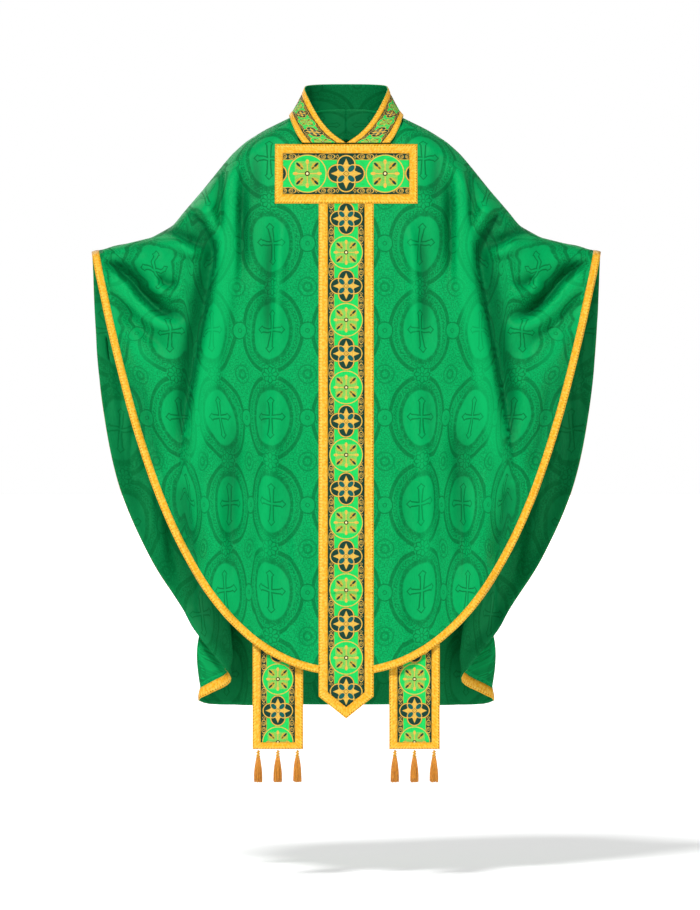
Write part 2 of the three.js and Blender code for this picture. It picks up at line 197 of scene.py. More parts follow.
BACK_FOLDS = [
    ([(0.25, -0.11), (0.272, -0.3), (0.3, -0.6), (0.31, -0.85), (0.292, -1.02)], 0.024, 0.024, 0.5),
    ([(0.175, -0.22), (0.178, -0.5), (0.19, -0.9), (0.2, -1.24)], 0.016, 0.02, 0.4),
    ([(0.21, -0.15), (0.222, -0.35), (0.24, -0.7)], 0.012, 0.015, 0.4),
    ([(0.105, -0.5), (0.11, -0.9), (0.112, -1.24)], 0.009, 0.022, 0.2),
    ([(0.36, -0.25), (0.385, -0.45), (0.4, -0.68), (0.375, -0.9)], 0.018, 0.024, 0.5),
    ([(0.45, -0.3), (0.465, -0.45), (0.455, -0.66), (0.43, -0.8)], 0.013, 0.02, 0.5),
    ([(0.52, -0.295), (0.455, -0.345), (0.38, -0.4), (0.3, -0.41)], 0.012, 0.016, -0.6),
    ([(0.255, -0.95), (0.262, -1.1), (0.26, -1.24)], -0.012, 0.022, 0.0),
]


FOLD_STRENGTH, MOST_RISE = 1.3, 0.018  # of every fold, and how far a roll may stand out


def fold_heights(x, z, folds):
    """Outward height of all the folds together."""
    ax, total = np.abs(x), np.zeros(np.shape(x))
    for points, depth, width, roll in folds:
        line = spline(points, 40)
        d2 = (ax[..., None] - line[:, 0]) ** 2 + (z[..., None] - line[:, 1]) ** 2
        near = np.argmin(d2, -1)
        tangent = unit(np.gradient(line, axis=0))
        dx, dz = ax - line[near, 0], z - line[near, 1]
        side = -(dx * tangent[near, 1] - dz * tangent[near, 0])  # positive on the outer side
        t = near / 39
        fade = smooth(0, 0.28, t) * smooth(1, 0.62, t)
        off = np.sqrt(d2[np.arange(d2.shape[0])[:, None], np.arange(d2.shape[1])[None], near])
        s = np.where(side > 0, off, -off)
        lean = math.copysign(1.0, roll)  # the steep side is towards the roll
        spread = np.where(s * lean > 0, 1.7, 0.7) * width
        valley = np.exp(-((np.abs(s) / spread) ** 1.3))
        crest = np.exp(-(((s + lean * 1.9 * width) / (1.3 * width)) ** 2))
        total += FOLD_STRENGTH * fade * depth * (abs(roll) * crest - valley)
    return total


def ripples(x, z, seed):
    """Small slow waves and creases, the same on every run."""
    rng, total = np.random.default_rng(seed), np.zeros(np.shape(x))
    for size, height, count in ((0.16, 0.0032, 7), (0.07, 0.0015, 9), (0.034, 0.0005, 10)):
        for _ in range(count):
            angle, phase = rng.uniform(-0.5, 0.5), rng.uniform(0, 6.28, 2)
            across = (x * math.cos(angle) + z * math.sin(angle)) / size
            total += height * np.sin(6.28 * across + phase[0] + 1.5 * np.sin(z / (2.3 * size) + phase[1]))
    return total / 2


def free_of_orphrey(x, z):
    """0 under the stiff T orphrey, 1 away from it."""
    ax = np.abs(x)
    bar = np.hypot(np.maximum(0, ax - BAR_HALF), np.maximum(0, np.maximum(z - BAR_TOP, BAR_LOW - z)))
    return smooth(0.0, 0.04, np.minimum(bar, np.maximum(0, ax - COLUMN_HALF)))


def flutes(x, z, low):
    """Soft waves that grow towards the hem."""
    ax, grow = np.abs(x), smooth(-0.45, low, z)
    return grow * (0.01 * np.sin((ax - 0.06) * 38) + 0.005 * np.sin(ax * 71 + 1.2)) * smooth(0.06, 0.13, ax)


def draped(x, z, body, folds, seed, low):
    """Distance of the folded cloth from the shoulder line."""
    x, z = np.asarray(x, float), np.asarray(z, float)
    loose = free_of_orphrey(x, z) * smooth(0.0, 0.05, RIDGE(np.abs(x)) - z)
    shape = fold_heights(x, z, folds) + ripples(x, z, seed) + flutes(x, z, low)
    room = 0.009 + 0.075 * smooth(0.2, 0.24, np.abs(x))  # the stole lies close behind the middle
    limit = np.where(shape < 0, room, MOST_RISE)
    shape = np.sign(shape) * limit * (1 - np.exp(-np.abs(shape) / limit))
    return reach(x, z, body) + loose * shape


def front_y(x, z):
    return -draped(x, z, FRONT_BODY, FRONT_FOLDS, 3, -1.17)


def back_y(x, z):
    return draped(x, z, BACK_BODY, BACK_FOLDS, 8, -1.24)


def summed(rates, keys):
    """Running total of the rates, row by row, where the keys say how far apart the rows lie."""
    return np.insert(np.cumsum((rates[1:] + rates[:-1]) / 2 * (keys[1] - keys[0]), 0), 0, 0, 0)


def flattened(surface, x, z):
    """Where each point of a draped surface lay on the flat cloth: its pattern goes by this."""
    xs, zs = np.linspace(0, 0.546, 183), np.linspace(-1.272, 0.068, 336)
    gx, gz = np.meshgrid(xs, zs)
    y = surface(gx, gz)
    slope_x = np.clip(np.abs(np.gradient(y, xs, axis=1)), 0, 1.2) * smooth(0.0, 0.08, RIDGE(gx) - gz)
    slope_z = np.clip(np.abs(np.gradient(y, zs, axis=0)), 0, 4)
    across = summed(np.sqrt(1 + slope_x**2).T, xs).T
    for near, far, top, low, taken in TUCKS:
        across = across + taken * smooth(near, far, gx) * smooth(top, low, gz)
    down = summed(np.sqrt(1 + slope_z**2), zs)
    down = down - down[np.argmin(np.abs(zs - PATTERN_ROW))]
    ax = np.clip(np.abs(x) / xs[1], 0, len(xs) - 1.001)
    az = np.clip((z - zs[0]) / (zs[1] - zs[0]), 0, len(zs) - 1.001)
    i, j = az.astype(int), ax.astype(int)
    fi, fj = az - i, ax - j

    def at(f):
        low = f[i, j] * (1 - fj) + f[i, j + 1] * fj
        return low * (1 - fi) + (f[i + 1, j] * (1 - fj) + f[i + 1, j + 1] * fj) * fi

    return np.stack([at(across) * np.sign(x), at(down)], -1)


def bezier(points, count):
    t = np.linspace(0, 1, count)[:, None]
    a, b, c, d = (np.array(p, float) for p in points)
    return (1 - t) ** 3 * a + 3 * (1 - t) ** 2 * t * b + 3 * (1 - t) * t * t * c + t**3 * d


# Hems as half width and height, from the middle to the wrist
FRONT_HEM = bezier([(0, -1.171), (0.355, -1.171), (0.465, -0.626), WRIST], 500)
BACK_HEM = spline([(0, -1.243), (0.12, -1.243), (0.24, -1.243), (0.296, -1.234), (0.313, -1.19),
                   (0.308, -1.13), (0.335, -1.062), (0.416, -0.93), (0.481, -0.779), (0.517, -0.603),
                   (0.532, -0.43), WRIST], 500)
# Neck edge of each panel as half width and height
FRONT_NECK = [(0, -0.057), (0.095, -0.057), (0.104, -0.042), (0.1125, -0.02), (0.1175, -0.006), (NECK_SIDE, 0.001)]
BACK_NECK = [(0, 0.0075), (0.05, 0.007), (0.088, 0.0055), (0.106, 0.004), (0.1175, 0.001), (NECK_SIDE, 0.001)]
# The corner of the back falls in one deep Z pleat. Its hem runs out to the tip, turns forward and in,
# and turns again to climb to the wrist. Each row: x, y, z, and which way the cloth goes from the hem
PLEAT = [
    (0.262, 0.162, -1.243, 0, 1), (0.3, 0.158, -1.24, -0.05, 1), (0.3165, 0.148, -1.232, -0.15, 1),
    (0.303, 0.138, -1.225, 0.2, 0.95), (0.279, 0.132, -1.213, 0.4, 0.9), (0.256, 0.124, -1.202, 0.3, 0.95),
    (0.245, 0.110, -1.19, 0, 1), (0.247, 0.098, -1.178, -0.5, 0.85), (0.262, 0.094, -1.16, -0.75, 0.65),
    (0.283, 0.094, -1.134, -0.8, 0.6), (0.303, 0.098, -1.109, -0.8, 0.6), (0.327, 0.106, -1.077, -0.8, 0.6)]
PLEAT_START, PLEAT_END = 0.24, 0.5  # along the hem from the middle, before the pleat is laid


def pleated_hem(hem, run):
    """The back's hem with its pleat laid: length along it, points, and the way the cloth goes."""
    tangent = np.gradient(hem, axis=0)
    way = unit(np.stack([-tangent[:, 1], tangent[:, 0]], -1))
    y = back_y(hem[:, :1], hem[:, 1:])[:, 0]
    inner = hem + way * EDGE[0]
    rise = (back_y(inner[:, :1], inner[:, 1:])[:, 0] - y) / EDGE[0]
    plain = np.stack([hem[:, 0], y, hem[:, 1], way[:, 0], rise, way[:, 1]], -1)
    laid = spline([(p[0], p[1], p[2]) for p in PLEAT], 60)
    share = np.linspace(0, 1, 60) * (len(PLEAT) - 1)
    turned = np.stack([np.interp(share, range(len(PLEAT)), [p[k] for p in PLEAT]) for k in (3, 4)], -1)
    laid = np.concatenate([laid, turned[:, :1], turned[:, :1] * 0, turned[:, 1:]], -1)
    whole = np.vstack([plain[run < PLEAT_START], laid, plain[run > PLEAT_END]])
    return lengths(whole[:, :3]), whole[:, :3], whole[:, 3:]


ROWS, COLUMNS = 128, 120  # of the cloth's grid, down the panel and across one half


def panel(side):
    """Grid of points of the front or back panel, from the neck and shoulders down to the hem."""
    hem, neck, surface = (FRONT_HEM, FRONT_NECK, front_y) if side == "front" else (BACK_HEM, BACK_NECK, back_y)
    tops = np.concatenate([np.linspace(0, HEM_START, 8)[:-1], np.linspace(HEM_START, BAR_HALF, 14)[:-1],
                           np.linspace(BAR_HALF, SLEEVE_TOP, COLUMNS - 20)])
    neck_z = np.interp(tops, *np.array(neck).T)
    top_z = np.where(tops > NECK_SIDE, RIDGE(tops), neck_z)
    run = lengths(hem)
    start = np.interp(BAR_HALF, hem[:100, 0], run[:100])
    share = np.clip((tops - BAR_HALF) / (SLEEVE_TOP - BAR_HALF), 0, 1)
    along = np.where(tops > BAR_HALF, start + share * (run[-1] - start), np.interp(tops, hem[:100, 0], run[:100]))
    foot = taken_at(along, run, hem)
    tangent = taken_at(along + 0.003, run, hem) - taken_at(along - 0.003, run, hem)
    inward = unit(np.stack([-tangent[:, 1], tangent[:, 0]], -1))
    last = foot + inward * EDGE[0]
    b = np.linspace(0, 1, ROWS)[:, None] ** 1.5  # closer together over the shoulder
    bow = np.sin(np.pi * b) * 0.02 * share * (1 - share) * 4  # the threads of the cloth bow outwards a little
    x = tops + (last[:, 0] - tops) * b + bow
    z = top_z + (last[:, 1] - top_z) * b
    edge = foot[None] + inward[None] * np.array(EDGE[1:])[:, None, None]
    x, z = np.vstack([x, edge[..., 0]]), np.vstack([z, edge[..., 1]])
    x[:, 0] = 0
    z = np.minimum(z, np.where(x > 0.1, RIDGE(x), 1))
    z[:, -1] = RIDGE(x[:, -1])
    x, z, along = (np.concatenate([s * m[..., :0:-1], m], -1) for s, m in ((-1, x), (1, z), (1, along)))
    points = np.stack([x, surface(x, z), z], -1)
    flat_cloth = flattened(surface, x, z)
    # Fold heights, kept on the outer cloth for its painted shade in the valleys and painted highlight on the crests
    relief = fold_heights(x, z, FRONT_FOLDS if side == "front" else BACK_FOLDS) * free_of_orphrey(x, z)
    if side == "back":
        length, edge_line, ways = pleated_hem(hem, run)
        at_laid = np.where(along < PLEAT_START, along, PLEAT_START + (along - PLEAT_START) * (
            length[-1] - PLEAT_START) / (run[-1] - PLEAT_START))
        mirror = np.where(np.arange(len(along)) < len(along) // 2, -1.0, 1.0)
        new_edge, new_way = taken_at(at_laid, length, edge_line), unit(taken_at(at_laid, length, ways))
        new_edge[:, 0] *= mirror
        new_way[:, 0] *= mirror
        arm = points - points[-1:]
        old_way = arm[-5] / np.maximum(1e-6, np.linalg.norm(arm[-5], axis=-1))[:, None]
        depth = (arm * old_way).sum(-1)[..., None]
        laid = new_edge + depth * new_way + arm - depth * old_way
        weight = smooth(0.24, 0.03, np.linalg.norm(arm, axis=-1))[..., None]
        ends = smooth(0.2, PLEAT_START, along) * smooth(run[-1], run[-1] - 0.3, along)
        weight *= ends[None, :, None]
        points = points + (laid - points) * weight
        points[:, len(along) // 2, 0] = 0
    return points, flat_cloth, relief


# ---------------------------------------------------------------- making meshes


def new_object(name, verts, faces, uv=None, materials=()):
    mesh = bpy.data.meshes.new(name)
    mesh.from_pydata([tuple(v) for v in np.asarray(verts).reshape(-1, 3)], [], [tuple(f) for f in faces])
    if uv is not None:
        layer = mesh.uv_layers.new(name="Cloth")
        loops = np.empty(len(mesh.loops), int)
        mesh.loops.foreach_get("vertex_index", loops)
        layer.data.foreach_set("uv", np.asarray(uv, float).reshape(-1, 2)[loops].ravel())
    for material in materials:
        mesh.materials.append(material)
    mesh.polygons.foreach_set("use_smooth", [True] * len(mesh.polygons))
    o = bpy.data.objects.new(name, mesh)
    bpy.context.scene.collection.objects.link(o)
    return o


def faced_out(o, merge=False):
    """Turns every face outwards, after joining the ends of a closed loop."""
    bm = bmesh.new()
    bm.from_mesh(o.data)
    if merge:
        bmesh.ops.remove_doubles(bm, verts=bm.verts, dist=1e-6)
    bmesh.ops.recalc_face_normals(bm, faces=bm.faces)
    bm.to_mesh(o.data)
    bm.free()
    return o


def grid_faces(rows, columns, flip=False, close=False):
    r, c = np.meshgrid(np.arange(rows - 1), np.arange(columns if close else columns - 1), indexing="ij")
    n = (c + 1) % columns
    f = np.stack([r * columns + c, (r + 1) * columns + c, (r + 1) * columns + n, r * columns + n], -1).reshape(-1, 4)
    return f[:, ::-1] if flip else f


def apply_modifiers(o):
    bpy.ops.object.select_all(action="DESELECT")
    bpy.context.view_layer.objects.active = o
    o.select_set(True)
    for modifier in list(o.modifiers):
        bpy.ops.object.modifier_apply(modifier=modifier.name)


def cloth(name, points, uv, materials, thickness, flip=False, relief=None):
    """A sheet with its outer face on the given grid, an inner face and a rolled edge."""
    rows, columns = points.shape[:2]
    o = new_object(name, points, grid_faces(rows, columns, flip), uv, materials)
    # Fold heights as the Relief attribute, from which the damask paints shade in the valleys and a highlight on the
    # crests
    if relief is not None:
        o.data.attributes.new("Relief", "FLOAT", "POINT").data.foreach_set("value", relief.ravel())
    solid = o.modifiers.new("Thickness", "SOLIDIFY")
    solid.thickness, solid.offset = thickness, -1
    if len(materials) > 1:
        solid.material_offset = 1
    apply_modifiers(o)
    return o


def normals_of(points):
    du, dv = np.gradient(points, axis=1), np.gradient(points, axis=0)
    n = np.cross(du, dv)
    return n / np.maximum(1e-9, np.linalg.norm(n, axis=-1))[..., None]


def braid(name, points, uv, outward, height, materials, closed=False):
    """A flat woven strip with crowned face, laid on a grid of points: rows run across, columns along."""
    t = np.linspace(-1, 1, len(points))[:, None, None]
    crown = height * (1 - 0.45 * t**6 - 0.12 * t**2)
    top = points + outward * (BRAID_OFF + crown)
    under = points[[-1, 0]] - outward[[-1, 0]] * BRAID_OFF
    ring = np.concatenate([top, under])
    ring_uv = np.concatenate([uv, uv[[-1, 0]]])
    if closed:
        ring = np.concatenate([ring, ring[:, :1]], 1)
        ring_uv = np.concatenate([ring_uv, ring_uv[:, :1]], 1)
    count = ring.shape[0]
    lay, lay_uv = ring.transpose(1, 0, 2), ring_uv.transpose(1, 0, 2)
    faces = [list(f) for f in grid_faces(lay.shape[0], count, close=True)]
    if not closed:
        faces += [list(range(count)), list(range((lay.shape[0] - 1) * count, lay.shape[0] * count))]
    return faced_out(new_object(name, lay, faces, lay_uv, materials), closed)


def finish(piece, slot, replaces=(), body=None, between=None):
    """Puts a piece on its body, or else bakes its transform in place, and hides the parts it replaces."""
    if between:
        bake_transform(piece)
    else:
        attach(piece, body)
    if replaces:
        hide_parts(*replaces)
    return piece


# ---------------------------------------------------------------- patterns as sums


class Wire:
    """A number that changes over the surface, so that a pattern can be written as a sum."""

    def __init__(self, tree, socket):
        self.tree, self.socket = tree, socket

    def math(self, operation, *others):
        node = self.tree.nodes.new("ShaderNodeMath")
        node.operation = operation
        for slot, value in zip(node.inputs, (self,) + others):
            if isinstance(value, Wire):
                self.tree.links.new(value.socket, slot)
            else:
                slot.default_value = value
        return Wire(self.tree, node.outputs[0])

    def __add__(self, o):
        return self.math("ADD", o)

    def __sub__(self, o):
        return self.math("SUBTRACT", o)

    def __mul__(self, o):
        return self.math("MULTIPLY", o)

    def __truediv__(self, o):
        return self.math("DIVIDE", o)

    def rest(self):
        """What is left of 1."""
        return self * -1.0 + 1.0

    def below(self, limit, soft=0.5):
        """1 where this is under the limit, 0 over it, with a soft edge."""
        node = self.tree.nodes.new("ShaderNodeMapRange")
        node.interpolation_type = "SMOOTHSTEP"
        self.tree.links.new(self.socket, node.inputs["Value"])
        node.inputs["From Min"].default_value, node.inputs["From Max"].default_value = limit - soft, limit + soft
        node.inputs["To Min"].default_value, node.inputs["To Max"].default_value = 1.0, 0.0
        return Wire(self.tree, node.outputs["Result"])

    def line(self, at, half, soft=0.5):
        """1 on a line of that half width where this equals at."""
        return (self - at).math("ABSOLUTE").below(half, soft)

    def wrapped(self, period):
        """This, counted from the nearest multiple of period."""
        turns = (self / period).math("ROUND")
        return self - turns * period


def distance(a, b):
    return (a * a + b * b).math("SQRT")


def either(first, *others):
    for o in others:
        first = first.math("MAXIMUM", o)
    return first


def linear(colour):
    """Node colour of a paint or thread given as red, green and blue from 0 to 255."""
    value = [c / 255 for c in colour]
    return [v / 12.92 if v <= 0.04045 else ((v + 0.055) / 1.055) ** 2.4 for v in value] + [1.0]


def paint(tree, under, over, mask):
    """under, covered with over where mask is 1. Either may be a fixed colour."""
    node = tree.nodes.new("ShaderNodeMix")
    node.data_type = "RGBA"
    tree.links.new(mask.socket, node.inputs[0])
    for slot, value in ((node.inputs[6], under), (node.inputs[7], over)):
        if hasattr(value, "is_output"):
            tree.links.new(value, slot)
        else:
            slot.default_value = list(value)
    return node.outputs[2]


def node_group(name, inputs, outputs, build):
    """A group with number inputs and the named outputs."""
    tree = bpy.data.node_groups.new(name, "ShaderNodeTree")
    for key, value in inputs.items():
        tree.interface.new_socket(key, in_out="INPUT", socket_type="NodeSocketFloat").default_value = value
    for key in outputs:
        kind = "NodeSocketColor" if key == "Color" else "NodeSocketFloat"
        tree.interface.new_socket(key, in_out="OUTPUT", socket_type=kind)
    came, goes = tree.nodes.new("NodeGroupInput"), tree.nodes.new("NodeGroupOutput")
    values = {key: Wire(tree, came.outputs[key]) for key in inputs}
    for key, result in build(tree, values).items():
        tree.links.new(result.socket if isinstance(result, Wire) else result, goes.inputs[key])
    return tree


def noise(tree, vector, scale, detail=2.0, stretch=(1, 1, 1)):
    mapping, node = tree.nodes.new("ShaderNodeMapping"), tree.nodes.new("ShaderNodeTexNoise")
    mapping.inputs["Scale"].default_value = stretch
    tree.links.new(vector, mapping.inputs["Vector"])
    tree.links.new(mapping.outputs[0], node.inputs["Vector"])
    node.inputs["Scale"].default_value, node.inputs["Detail"].default_value = scale, detail
    return Wire(tree, node.outputs["Fac"])


def joined(tree, x, y):
    node = tree.nodes.new("ShaderNodeCombineXYZ")
    tree.links.new(x.socket, node.inputs[0])
    tree.links.new(y.socket, node.inputs[1])
    return node.outputs[0]


# The groups' Across and Along are in millimetres on the flat cloth.


def weave_group():
    """Thread relief with slubs. Size is the pitch of the threads in millimetres."""

    def build(tree, v):
        across = (v["Across"] * math.tau / v["Size"]).math("SINE")
        along = (v["Along"] * math.tau / v["Size"]).math("SINE")
        slub = noise(tree, joined(tree, v["Across"], v["Along"]), 0.55, 3.0, (1, 0.15, 1))
        fuzz = noise(tree, joined(tree, v["Across"], v["Along"]), 0.22, 4.0)
        return {"Height": across * along * 0.5 + slub * 0.6 + fuzz * 0.3, "Slub": slub, "Cloud": fuzz}

    return node_group("Weave", {"Across": 0.0, "Along": 0.0, "Size": 1.2}, ("Height", "Slub", "Cloud"), build)


def damask_group():
    """Tone on tone figure: ovals in rows, each with a cross, rosettes where they meet, scales between."""

    def build(tree, v):
        repeat_x, repeat_z = v["Repeat across"], v["Repeat down"]
        x, z = v["Across"].wrapped(repeat_x), v["Along"].wrapped(repeat_z)
        angle = z.math("ARCTAN2", x)
        outer = distance(x / 70.0, z / 86.0)
        inner = distance(x / 43.0, z / 60.0)
        ring = outer.line(1.0, 0.058, 0.016)
        place = joined(tree, v["Across"], v["Along"])
        fleck = noise(tree, place, 0.33, 2.0)
        leaves = outer.line(0.85, 0.07, 0.02) * either(
            (angle * 26.0 + outer * 24.0).math("SINE").line(0.1, 0.35, 0.3), fleck.below(0.47, 0.05))
        beads = (angle * 18.0).math("SINE") * 0.5 + 0.6
        dark_ring = inner.line(1.08, 0.1, 0.04) * either(fleck.below(0.6, 0.1), beads) * 0.9
        ax, az, arm_z = x.math("ABSOLUTE"), z.math("ABSOLUTE"), (z - 2.0).math("ABSOLUTE")
        upright = either(ax - az * 0.06 - 2.4, az - 34.0)
        arm = either(arm_z - ax * 0.09 - 2.4, ax - 23.0)
        ends = (ax + (az - 36.0).math("ABSOLUTE") - 7.5).math("MINIMUM", (ax - 24.5).math("ABSOLUTE") + arm_z - 7.0)
        outline = upright.math("MINIMUM", arm).math("MINIMUM", ends).line(0.6, 1.5, 0.7)
        beside, above = ax - repeat_x / 2.0, az - repeat_z / 2.0
        meet_side, meet_top = distance(beside, z), distance(x, above)
        rose = meet_side.math("MINIMUM", meet_top)
        spin = above.math("ARCTAN2", x)
        rose_edge = rose - (spin * 8.0).math("COSINE") * 1.8
        petal = (spin * 8.0).math("COSINE").line(-1.0, 0.35, 0.3) * rose.line(9.0, 5.0, 1.0)
        rosette = either(rose_edge.line(16.0, 1.7, 0.7), petal, rose.line(4.0, 0.9, 0.6))
        disc = rose.below(19.0, 0.8)
        corner = distance(beside / 34.0, above / 44.0).below(1.0, 0.06)
        scale_x, scale_z = (v["Across"] * 0.42).math("SINE"), (v["Along"] * 0.38).math("SINE")
        scales = (scale_x * scale_z).line(0.35, 0.16, 0.14) * 0.75
        centre = distance(beside, above)
        lace = (centre * 0.55).math("SINE").below(-0.2, 0.3) * centre.below(21.0, 2.0)
        outside = outer.below(1.06, 0.02).rest()
        between = outside * either(corner * either(scales, lace * 0.8), fleck.below(0.46, 0.06) * 0.6)
        light = (fleck * -1.0).below(-0.56, 0.05) * inner.below(1.1, 0.02).rest() * 0.5
        field = inner.below(0.98, 0.02).rest() * outer.below(0.96, 0.02) * 0.28
        figure = either(ring, leaves * 0.95, dark_ring, outline * inner.below(0.95, 0.03), between, field)
        figure = figure * disc.rest() + disc * either(rosette, disc * 0.2)
        return {"Figure": figure, "Light": light * (figure * -0.6 + 1.0)}

    return node_group("Damask figure", {"Across": 0.0, "Along": 0.0, "Repeat across": 162.0, "Repeat down": 183.0},
                      ("Figure", "Light"), build)


def orphrey_group(trim):
    """Band of quatrefoils and roundels between scrolled borders, 77 wide."""
    step = FIGURE_STEP * MM
    gold, ground = linear(scaled(trim.gold)), linear(scaled(trim.ground))
    dark, teal, brown = linear(scaled(trim.dark)), linear(scaled(trim.teal)), linear(scaled(trim.brown))

    def build(tree, v):
        u, along = v["Across"], v["Along"]
        odd = (along / step).math("ROUND").math("FLOORED_MODULO", 2.0)
        z = along.wrapped(step)
        au, az = u.math("ABSOLUTE"), z.math("ABSOLUTE")
        wide, narrow = au.math("MAXIMUM", az), au.math("MINIMUM", az)
        r = distance(u, z)
        # borders
        border = au.below(24.9, 0.3).rest()
        mid = az - step / 2
        side = au - 31.4
        curl = distance(side, mid + 5.6)
        arrow = (mid + 19.5).math("ABSOLUTE") + side.math("ABSOLUTE") * 0.7
        scroll = either(curl.line(3.6, 0.5, 0.3), distance(side + 0.6, mid + 4.8).line(1.5, 0.45, 0.3),
                        distance(mid / 14.6, side / 5.9).line(1.0, 0.07, 0.05), arrow.line(2.4, 0.5, 0.3),
                        au.line(25.4, 0.4, 0.3))
        colour = paint(tree, ground, paint(tree, dark, brown, au.line(26.6, 0.8, 0.5) * 0.8), border)
        colour = paint(tree, colour, gold, scroll * border * 0.9)
        # roundel: fine net in a square, a small fleur on each axis, a dark leaf on each diagonal
        diag, off = (au + az) * 0.7071, (au - az) * 0.7071
        net = either((diag * 1.9).math("SINE").line(0.0, 0.32, 0.3), (off * 1.9).math("SINE").line(0.0, 0.32, 0.3))
        fleur = either(narrow.below(0.9, 0.3) * wide.below(22.0), distance((wide - 21.5) / 4.6, narrow / 3.0).below(
            1.0, 0.15))
        filigree = either(net * wide.below(22.5, 0.6) * r.below(30.0, 1.0) * 0.75, fleur, r.line(34.3, 0.9, 0.35))
        disc = paint(tree, ground, gold, filigree)
        petals = distance((diag - 18.5) / 7.5, off / (diag * 0.2 + 2.2)).below(1.0, 0.12)
        disc = paint(tree, disc, linear((236, 158, 40)), petals * (off * 2.1).math("COSINE").line(1.0, 1.3, 0.3))
        disc = paint(tree, disc, brown, either(distance((diag - 14.5) / 3.0, off / 1.6).below(1.0, 0.3) * 0.8,
                                               r.below(4.6, 0.35)))
        disc = paint(tree, disc, dark, distance((diag - 23.0) / 5.2, off / 2.3).below(1.0, 0.16))
        disc = paint(tree, disc, linear((250, 240, 170)), r.below(2.3, 0.35))
        colour = paint(tree, colour, disc, odd * r.below(35.3, 0.4))
        # quatrefoil
        lobe = distance(wide - 17.3, narrow) - 13.9
        stem = wide * 0.2 + 0.6
        barb = ((wide - 10.4) * 1.5).math("MINIMUM", (wide * -1.9) + 36.5)
        blade = (wide * -0.42 + 11.6).math("MINIMUM", (wide - 12.0) * 1.5)
        cross = narrow - either(stem * wide.below(16.0, 0.2), barb, blade)
        cross = cross.below(0.0, 0.4) * (wide - 28.0).below(0.0, 0.4)
        eye = distance((diag - 13.0) / 8.0, off / 5.2)
        quatre = paint(tree, dark, gold, cross)
        quatre = paint(tree, quatre, gold, eye.line(1.05, 0.14, 0.06))
        quatre = paint(tree, quatre, teal, eye.below(0.9, 0.08))
        diamond = au + az
        quatre = paint(tree, quatre, brown, diamond.line(5.0, 0.55, 0.3))
        quatre = paint(tree, gold, quatre, lobe.below(0.9, 0.3))
        quatre = paint(tree, brown, quatre, lobe.below(3.0, 0.3))
        colour = paint(tree, colour, quatre, odd.rest() * lobe.below(3.6, 0.3))
        raised = either(scroll * border, odd * r.below(35.3, 0.4) * filigree,
                        odd.rest() * cross * lobe.below(3.0, 0.4))
        return {"Color": colour, "Figure": raised}

    return node_group("Orphrey figure", {"Across": 0.0, "Along": 0.0}, ("Color", "Figure"), build)


def galloon_group(trim):
    """Gold braid, mottled, with a row of dark picks near its outer edge."""
    gold, deep, light = (linear(scaled(c)) for c in (trim.galloon, trim.galloon_deep, trim.galloon_light))

    def build(tree, v):
        u, along = v["Across"], v["Along"]
        place = joined(tree, u, along)
        blot, speck = noise(tree, place, 0.16, 3.0), noise(tree, place, 0.5, 2.0, (1, 0.6, 1))
        rib = (along * math.tau / 1.6 + (u * 0.9).math("SINE") * 1.2).math("SINE")
        colour = paint(tree, gold, deep, (speck * -1.0).below(-0.52, 0.06) * 0.9)
        colour = paint(tree, colour, light, blot.below(0.45, 0.12) * 0.65)
        colour = paint(tree, colour, deep, (rib * 0.5 + 0.5) * 0.22)
        pick = distance(u - 2.3, along.wrapped(6.2) * 0.8).below(0.8, 0.35)
        pick = either(pick, distance(u - 14.5, (along + 2.0).wrapped(6.2)).below(0.6, 0.35) * 0.7)
        pale = distance(u - 4.8, (along + 3.1).wrapped(6.2)).line(1.3, 0.5, 0.3)
        colour = paint(tree, colour, light, pale * 0.8)
        colour = paint(tree, colour, linear((96, 74, 22)), pick * 0.85)
        return {"Color": colour, "Height": rib * 0.35 + speck * 0.8 - pick}

    return node_group("Galloon braid", {"Across": 0.0, "Along": 0.0}, ("Color", "Height"), build)


def scaled(colour):
    """A colour property, red, green and blue from 0 to 1, as 0 to 255."""
    return [c * 255 for c in colour]


def blank_material(name, **shader):
    material = bpy.data.materials.new(name)
    material.use_nodes = True
    tree = material.node_tree
    principled = tree.nodes["Principled BSDF"]
    for key, value in shader.items():
        principled.inputs[key.replace("_", " ")].default_value = value
    return material, tree, principled


def in_millimetres(tree, vector):
    split = tree.nodes.new("ShaderNodeSeparateXYZ")
    tree.links.new(vector, split.inputs[0])
    return tuple(Wire(tree, split.outputs[k]) * MM for k in range(3))


def cloth_place(tree):
    """Across and Along of the piece's own flat cloth, in millimetres."""
    uv = tree.nodes.new("ShaderNodeUVMap")
    uv.uv_map = "Cloth"
    return in_millimetres(tree, uv.outputs[0])[:2]


def object_place(tree):
    """The three coordinates of the piece, in millimetres."""
    return in_millimetres(tree, tree.nodes.new("ShaderNodeTexCoord").outputs["Object"])


def placed_group(tree, group, place, **values):
    node = tree.nodes.new("ShaderNodeGroup")
    node.node_tree = group
    for key, wire in zip(("Across", "Along"), place):
        tree.links.new(wire.socket, node.inputs[key])
    for key, value in values.items():
        node.inputs[key.replace("_", " ")].default_value = value
    return node


def roughen(tree, principled, colour, rough, height, depth):
    tree.links.new(colour, principled.inputs["Base Color"])
    tree.links.new(rough.socket, principled.inputs["Roughness"])
    bump = tree.nodes.new("ShaderNodeBump")
    bump.inputs["Strength"].default_value = 0.6
    bump.inputs["Distance"].default_value = depth
    tree.links.new(height.socket, bump.inputs["Height"])
    tree.links.new(bump.outputs[0], principled.inputs["Normal"])


